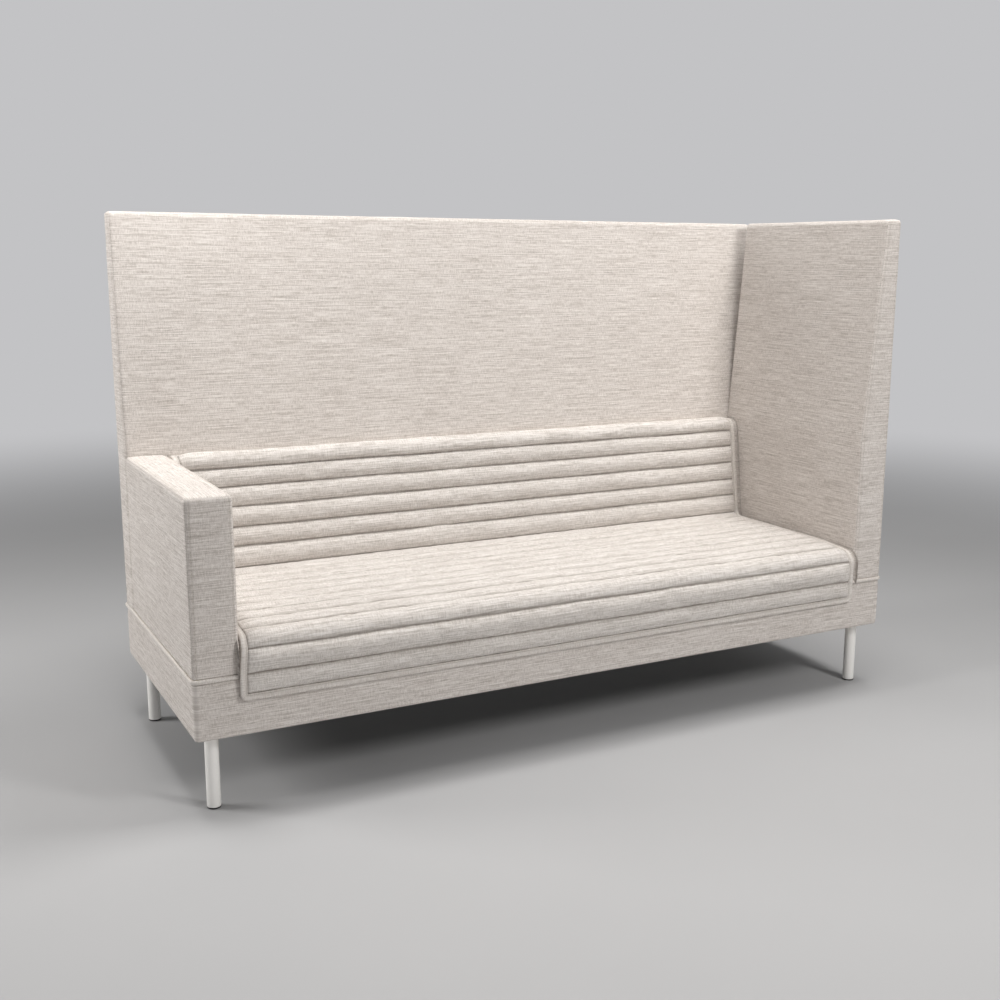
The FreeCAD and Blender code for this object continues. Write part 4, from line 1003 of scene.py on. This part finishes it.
class SETTEE_OT_mat(bpy.types.Operator):
    """Makes the quilted mat: its channels, its lining and the binding round it"""
    bl_idname = "settee.mat"
    bl_label = "Quilted mat"

    def execute(self, context):
        form = MatForm()
        self.pad(form)
        self.lining(form)
        self.binding(form)
        return {"FINISHED"}

    def pad(self, form):
        """Channels: between two seams the thickness rises from the seam's to the crown's as a
        power of a half sine, falls towards the ends, and moves by noise. Close to a seam small
        puckers run across it and die out in 10 mm. Then the cloth simulation pulls it taut."""
        stops = form.seams()
        hem = sizes().binding_width - 3 * MM
        steps = 12
        part = (1 - np.cos(np.linspace(0, math.pi, steps + 1))) / 2
        rows = [stops[index] + (stops[index + 1] - stops[index]) * part[:-1]
                for index in range(len(stops) - 1)]
        parts = np.concatenate([np.tile(part[:-1], len(rows)), [0.0]])
        channel = np.concatenate([np.repeat(np.arange(len(rows)), steps), [len(rows) - 1]])
        widths = np.diff(stops)[channel]
        distance = np.concatenate(rows + [[stops[-1]]])
        # a narrow flat border that slips under the binding at both ends of the line
        distance = np.concatenate([[stops[0] - 3 * MM], distance, [stops[-1] + 3 * MM]])
        parts = np.concatenate([[0.0], parts, [0.0]])
        channel = np.concatenate([[0], channel, [len(rows) - 1]])
        widths = np.concatenate([[widths[0]], widths, [widths[-1]]])
        low, high = form.low_x + hem, form.high_x - hem
        x = spaced(low, high, np.array([0, 1.5, 3, 5, 8, 12, 17, 23, 30]) * MM, 8.5 * MM)
        gs, gx = np.meshgrid(distance, x, indexing="ij")
        part = np.broadcast_to(parts[:, None], gs.shape)
        number = np.broadcast_to(channel[:, None], gs.shape)
        width = np.broadcast_to(widths[:, None], gs.shape)
        from_end = np.minimum(gx - low, high - gx)
        full = 0.15 + 0.85 * smooth_step(0, 30 * MM, from_end) ** 0.6
        arch = np.sin(math.pi * part) ** 0.7
        crown = (sizes().crown_thickness - sizes().seam_thickness) \
            * np.clip(width / sizes().channel_pitch, 0.5, 1)
        loft = 1 + 0.45 * (number == 0) + 0.10 * ripple(71, 0.28, gx, number * 0.37) \
            + 0.05 * ripple(72, 0.07, gx, number * 0.11)
        from_seam = np.minimum(part, 1 - part) * width
        pucker = 0.0007 * ripple(73, 0.030, gx, number * 0.5 + (part > 0.5) * 0.21) \
            * hump(from_seam, 5 * MM, 5 * MM)
        slow = 0.0008 * ripple(74, 0.22, gx, gs)
        lift = sizes().seam_thickness + arch * (crown * full * loft + slow) + pucker
        lift = lift - 0.0026 * hump(from_seam, 0, 1.2 * MM)
        # under the binding the edge thins away
        edge = np.minimum(from_end, np.minimum(gs - gs[0, 0], gs[-1, 0] - gs))
        lift = 3 * MM + (lift - 3 * MM) * smooth_step(0.5 * MM, 5 * MM, edge)
        # the stitched line wanders a little along the mat
        wander = 0.0012 * ripple(75, 0.4, gx, number * 0.31) * (1 - arch) ** 0.5
        wander = wander * smooth_step(0, 0.05, from_end)
        wander = wander * ((gs > stops[0] + 0.02) & (gs < stops[-1] - 0.02))
        top = form.lay(gs + wander, gx, lift)
        sewn = (from_seam < 0.4 * MM) | (from_end < 0.4 * MM)
        top = inflated(top, sewn, pressure=1.2, most=1.3 * MM)
        under = form.lay(gs, gx, 1.4 * MM + 0 * gs)
        # painted shade: the seam attribute darkens the seams, the border under the binding, and
        # more widely the level part's valleys, which catch less light
        nose = form.length - form.drop
        level = smooth_step(form.crease, form.crease + 0.03, gs) \
            * (1 - smooth_step(nose - 0.06, nose - 0.02, gs))
        seam = 0.55 * hump(from_seam, 0, 1.9 * MM) + 0.35 * hump(from_end, 3 * MM, 2 * MM) \
            + 0.30 * level * hump(from_seam, 0, 6 * MM)
        surface = Surface()
        cloth = np.stack([gx, gs], -1)
        surface.add_grid(top, cloth, np.clip(seam, 0, 1))
        surface.add_grid(under, cloth)
        for edge in (0, -1):
            wall = np.stack([top[edge], under[edge]])
            surface.add_grid(wall, np.stack([cloth[edge]] * 2))
            wall = np.stack([top[:, edge], under[:, edge]])
            surface.add_grid(wall, np.stack([cloth[:, edge]] * 2))
        pad = surface.build("mat_quilt", MATERIALS["mat"], merge=1e-6)
        place_piece(pad, "mat", "mat_cloth", "mat_pad")

    def lining(self, form):
        """A sheet along the mat's underside, one lining thickness thick."""
        hem = sizes().binding_width - 2 * MM
        distance = np.linspace(hem, form.length - hem, 190)
        x = np.linspace(form.low_x + hem, form.high_x - hem, 60)
        gs, gx = np.meshgrid(distance, x, indexing="ij")
        surface = Surface()
        surface.add_grid(form.lay(gs, gx, 0.6 * MM + 0 * gs), np.stack([gx, gs], -1))
        cloth = surface.build("mat_underside", MATERIALS["lining"], closed=False)
        thicken(cloth, 0.9 * MM)
        place_piece(cloth, "mat", "lining_cloth", "mat_lining")

    def binding(self, form):
        """A flattened tube carried round the mat's edge: its section is a superellipse with a
        crease on the inner side where it is sewn down, and its size swells by noise. The path
        is worked out on the flat mat, as distance and X, and then laid."""
        width, thick = sizes().binding_width, sizes().binding_thickness
        inset = width / 2
        corners = []
        low_s, high_s = inset, form.length - inset
        low_x, high_x = form.low_x + inset, form.high_x - inset
        path = []
        for (s, x, bend, start) in ((high_s, low_x, 7 * MM, 180), (high_s, high_x, 7 * MM, 270),
                                    (low_s, high_x, 5 * MM, 0), (low_s, low_x, 5 * MM, 90)):
            centre_s = s - bend if s == high_s else s + bend
            centre_x = x + bend if x == low_x else x - bend
            angle = np.radians(start + np.linspace(0, 90, 7))
            corner = np.stack([centre_s - bend * np.sin(angle), centre_x + bend * np.cos(angle)],
                              -1)
            corners.append(corner)
        for index, corner in enumerate(corners):
            after = corners[(index + 1) % 4][0]
            count = int(np.linalg.norm(after - corner[-1]) / (6 * MM))
            part = np.linspace(0, 1, count + 1)[1:-1, None]
            path += [corner, corner[-1] + (after - corner[-1]) * part]
        path = np.concatenate(path)
        way = np.roll(path, -1, axis=0) - np.roll(path, 1, axis=0)
        way /= np.linalg.norm(way, axis=-1, keepdims=True)
        # outward is square to the way, in the mat's own plane
        out = np.stack([way[:, 1], -way[:, 0]], -1)
        step = np.linalg.norm(np.diff(path, axis=0, append=path[:1]), axis=-1)
        around = np.concatenate([[0], np.cumsum(step)[:-1]])
        turn = np.linspace(0, 2 * math.pi, 25)[:-1]
        side = np.sign(np.cos(turn)) * np.abs(np.cos(turn)) ** 0.7
        rise = np.sign(np.sin(turn)) * np.abs(np.sin(turn)) ** 0.6
        crease = 1 - 0.34 * hump(side, -0.55, 0.16) * (rise > 0)
        swell = 1 + 0.05 * ripple(81, 0.035, around) + 0.04 * ripple(82, 0.15, around)
        # the folded corners gather in small tucks
        turning = np.abs(way[:, 0] * way[:, 1]) * 2
        swell = swell + 0.14 * turning * np.sin(around * 2 * math.pi / (5.2 * MM))
        reach_out = (side[None] * swell[:, None]) * width / 2
        lift = thick / 2 + (rise * crease)[None] * (thick / 2) * swell[:, None]
        lift = np.maximum(lift, 0.1 * MM)
        s = path[:, :1] + out[:, :1] * reach_out
        x = path[:, 1:] + out[:, 1:] * reach_out
        grid = form.lay(s, x, lift)
        across = np.broadcast_to(np.linspace(0, 0.045, 24), s.shape)
        cloth = np.stack([np.broadcast_to(around[:, None], s.shape), across], -1)
        # painted shade in the crease where the binding is sewn down
        seam = 0.5 * hump(side, -0.55, 0.12) * (rise > 0) + 0 * s
        surface = Surface()
        surface.add_grid(grid, cloth, seam, loop_rows=True, loop_columns=True)
        edge = surface.build("mat_edging", MATERIALS["edging"])
        place_piece(edge, "mat", "mat_cloth", "mat_binding")


# Legs

def turned(profile, centre, sides=64):
    """A profile of (radius, height) turned round an upright line through a centre."""
    turn = np.linspace(0, 2 * math.pi, sides + 1)[:-1]
    profile = np.array(profile)
    radius, height = profile[:, :1], profile[:, 1:]
    return np.stack([centre[0] + radius * np.cos(turn), centre[1] + radius * np.sin(turn),
                     np.broadcast_to(height, (len(profile), sides))], -1)


class SETTEE_OT_legs(bpy.types.Operator):
    """Makes the tube legs and their glides"""
    bl_idname = "settee.legs"
    bl_label = "Legs"

    def execute(self, context):
        glides = Surface()
        for corner in ("front_left", "front_right", "rear_left", "rear_right"):
            low, high = cad_box(f"leg_{corner}")
            middle, radius = (low + high) / 2, (high[0] - low[0]) / 2
            foot, top = low[2], SKIRT_LOW[2] + 1.5 * MM
            bore = radius - 2 * MM
            profile = [(bore, foot + 30 * MM), (bore, foot + 1 * MM), (bore + 0.4 * MM, foot),
                       (radius - 0.7 * MM, foot), (radius - 0.2 * MM, foot + 0.25 * MM),
                       (radius, foot + 0.8 * MM)]
            profile += [(radius, height) for height in np.linspace(foot + 0.004, top - 0.002, 12)]
            profile += [(radius - 0.4 * MM, top), (0.0, top)]
            inner = [(0.0, top - 4 * MM), (bore, top - 4 * MM), (bore, foot + 30 * MM)]
            surface = Surface()
            surface.add_grid(turned(profile, middle), loop_columns=True)
            surface.add_grid(turned(inner, middle), loop_columns=True)
            leg = surface.build(f"{corner}_tube", MATERIALS["leg"])
            place_piece(leg, "settee", "leg_metal", f"leg_{corner}")
            glide = [(0.0, 0.0), (radius - 4 * MM, 0.0), (radius - 1.6 * MM, 0.3 * MM),
                     (radius - 0.6 * MM, 1.0 * MM), (radius - 0.2 * MM, 2.0 * MM),
                     (radius - 0.2 * MM, foot - 0.3 * MM), (radius - 0.8 * MM, foot),
                     (bore - 0.1 * MM, foot), (bore - 0.1 * MM, foot + 12 * MM),
                     (0.0, foot + 12 * MM)]
            glides.add_grid(turned(glide, middle), loop_columns=True)
        feet = glides.build("leg_feet", MATERIALS["glide"])
        place_piece(feet, "settee", "glide_plastic", "leg_glides")
        return {"FINISHED"}


class SETTEE_OT_insides(bpy.types.Operator):
    """Gives the timber, foam, webbing and fasteners inside their finishes"""
    bl_idname = "settee.insides"
    bl_label = "Insides"

    def execute(self, context):
        for name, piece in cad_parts.items():
            material = MATERIALS[finish_of(name)]
            if piece.material_slots:
                for slot in piece.material_slots:
                    slot.material = material
            else:
                piece.data.materials.append(material)
        return {"FINISHED"}


def finish_of(node):
    """The finish of a CAD node, from what its name says it is."""
    words = {"boards": "hardboard", "bolts": "zinc", "nuts": "zinc", "foam": "foam",
             "padding": "foam", "posts": "timber", "rails": "timber", "rail": "timber",
             "bearer": "timber", "blocks": "timber", "webbing": "webbing", "cloth": "lining",
             "lining": "lining", "tab": "tab", "glides": "glide"}
    last = node.split("_")[-1]
    if node == "dust_cover":
        return "lining"
    if node.startswith("leg_") and last in ("left", "right"):
        return "leg"
    if node.startswith("mat_"):
        return words.get(last, "mat")
    return words.get(last, "cover")


# Stage

BACKDROP = "c3c3c5"


class SETTEE_OT_stage(bpy.types.Operator):
    """Makes the pale floor, the soft lights and the camera"""
    bl_idname = "settee.stage"
    bl_label = "Stage"

    def execute(self, context):
        scene = context.scene
        scene.view_settings.view_transform = "Standard"
        self.floor()
        self.world(scene)
        self.lights(scene)
        self.camera(scene)
        return {"FINISHED"}

    def floor(self):
        """A level square, far larger than the settee."""
        side = 30.0
        surface = Surface()
        x, y = np.meshgrid(np.linspace(-side, side, 9), np.linspace(-side, side, 9),
                           indexing="ij")
        surface.add_grid(np.stack([x, y, 0 * x], -1), np.stack([x, y], -1), flip=True)
        material, tree, shader = new_material("painted_floor")
        shader.inputs["Roughness"].default_value = 0.65
        place = add(tree, "ShaderNodeTexCoord").outputs["Object"]
        cloud = add(tree, "ShaderNodeTexNoise", {"Scale": 1.5, "Detail": 3.0}, Vector=place)
        ramp = add(tree, "ShaderNodeValToRGB", Fac=cloud.outputs["Fac"])
        ramp.color_ramp.elements[0].color = from_hex("b2b2b3")
        ramp.color_ramp.elements[1].color = colours().floor
        tree.links.new(ramp.outputs["Color"], shader.inputs["Base Color"])
        # far from the settee the floor runs into the backdrop's own even tone
        reach = add(tree, "ShaderNodeVectorMath", {"operation": "LENGTH"}, _0=place)
        far = add(tree, "ShaderNodeMapRange", {"interpolation_type": "SMOOTHSTEP",
                                               "From Min": 2.2, "From Max": 6.5},
                  Value=reach.outputs["Value"])
        seen = add(tree, "ShaderNodeLightPath").outputs["Is Camera Ray"]
        share = math_node(tree, "MULTIPLY", far.outputs[0], seen)
        tone = add(tree, "ShaderNodeEmission", {"Color": from_hex(BACKDROP), "Strength": 1.0})
        blend = add(tree, "ShaderNodeMixShader", None, _0=share, _1=shader.outputs[0],
                    _2=tone.outputs[0])
        tree.links.new(blend.outputs[0], tree.nodes["Material Output"].inputs["Surface"])
        floor = surface.build("floor", material, closed=False)

    def world(self, scene):
        """Even light all round, seen by the camera as a pale grey."""
        world = bpy.data.worlds.new("studio")
        world.use_nodes = True
        tree = world.node_tree
        tree.nodes.clear()
        seen = add(tree, "ShaderNodeLightPath")
        light = add(tree, "ShaderNodeBackground", {"Color": from_hex("f2f2f2"), "Strength": 0.24})
        pale = add(tree, "ShaderNodeBackground", {"Color": from_hex(BACKDROP), "Strength": 1.0})
        mix = add(tree, "ShaderNodeMixShader", None, _0=seen.outputs["Is Camera Ray"],
                  _1=light.outputs[0], _2=pale.outputs[0])
        add(tree, "ShaderNodeOutputWorld", Surface=mix.outputs[0])
        scene.world = world

    def lights(self, scene):
        """Large soft lamps: (name, place, target, width, depth, watts)."""
        for name, place, target, width, depth, power in (
                ("overhead", (1.0, -0.35, 3.4), (0.2, -0.1, 0.4), 1.3, 1.2, 66),
                ("front", (1.2, -3.0, 2.5), (0.3, 0.2, 0.9), 0.6, 1.0, 50),
                ("low", (-0.4, -4.2, 0.8), (0.0, 0.0, 0.3), 1.6, 0.8, 14),
                ("arm", (-1.1, -0.1, 2.3), (-1.0, 0.0, 0.7), 0.4, 0.4, 15),
                ("left_rear", (-3.4, 1.2, 1.7), (-1.0, 0.0, 0.9), 1.2, 1.0, 56)):
            lamp = bpy.data.lights.new(name, "AREA")
            lamp.shape, lamp.size, lamp.size_y, lamp.energy = "RECTANGLE", width, depth, power
            lamp.color = (1.0, 0.985, 0.965)
            item = bpy.data.objects.new(name, lamp)
            item.location = place
            way = Vector(target) - Vector(place)
            item.rotation_euler = way.to_track_quat("-Z", "Y").to_euler()
            scene.collection.objects.link(item)

    def camera(self, scene):
        """The photograph's camera: place in metres, turn from +Y towards +X, tilt, roll, focal
        length and middle in units of the image's width."""
        place = Vector((-1.5943, -2.9722, 1.2395))
        turn, tilt, roll = 0.4960, -0.1989, 0.0056
        focal, middle = 1.2487, (0.5264, 0.5067)
        forward = Vector((math.sin(turn) * math.cos(tilt), math.cos(turn) * math.cos(tilt),
                          math.sin(tilt)))
        right = Vector((math.cos(turn), -math.sin(turn), 0))
        up = right.cross(forward)
        right, up = (right * math.cos(roll) + up * math.sin(roll),
                     up * math.cos(roll) - right * math.sin(roll))
        data = bpy.data.cameras.new("camera")
        data.sensor_width, data.lens = 36.0, 36.0 * focal
        data.shift_x, data.shift_y = 0.5 - middle[0], middle[1] - 0.5
        camera = bpy.data.objects.new("camera", data)
        pose = Matrix((right, up, -forward)).transposed().to_4x4()
        pose.translation = place
        camera.matrix_world = pose
        scene.collection.objects.link(camera)
        scene.camera = camera


class SETTEE_PT_panel(bpy.types.Panel):
    """Lists the settee's sizes, colours and steps"""
    bl_idname = "SETTEE_PT_panel"
    bl_label = "High Back Settee"
    bl_space_type = "VIEW_3D"
    bl_region_type = "UI"
    bl_category = "Settee"

    def draw(self, context):
        layout = self.layout
        for group in (context.scene.settee_sizes, context.scene.settee_colours):
            box = layout.box()
            for name in group.bl_rna.properties.keys():
                if name not in ("rna_type", "name"):
                    box.prop(group, name)
        for operator in OPERATORS:
            layout.operator(operator.bl_idname)


GROUPS = (SetteeSizes, SetteeColours)
OPERATORS = (SETTEE_OT_panels, SETTEE_OT_base, SETTEE_OT_seat, SETTEE_OT_mat, SETTEE_OT_legs,
             SETTEE_OT_insides, SETTEE_OT_stage)


def register():
    for item in GROUPS + OPERATORS + (SETTEE_PT_panel,):
        bpy.utils.register_class(item)
    bpy.types.Scene.settee_sizes = bpy.props.PointerProperty(type=SetteeSizes)
    bpy.types.Scene.settee_colours = bpy.props.PointerProperty(type=SetteeColours)


def unregister():
    del bpy.types.Scene.settee_colours
    del bpy.types.Scene.settee_sizes
    for item in reversed(GROUPS + OPERATORS + (SETTEE_PT_panel,)):
        bpy.utils.unregister_class(item)


def main():
    """Makes every piece in order."""
    register()
    make_materials()
    for operator in OPERATORS:
        group, name = operator.bl_idname.split(".")
        getattr(getattr(bpy.ops, group), name)()


if __name__ == "__main__":
    main()
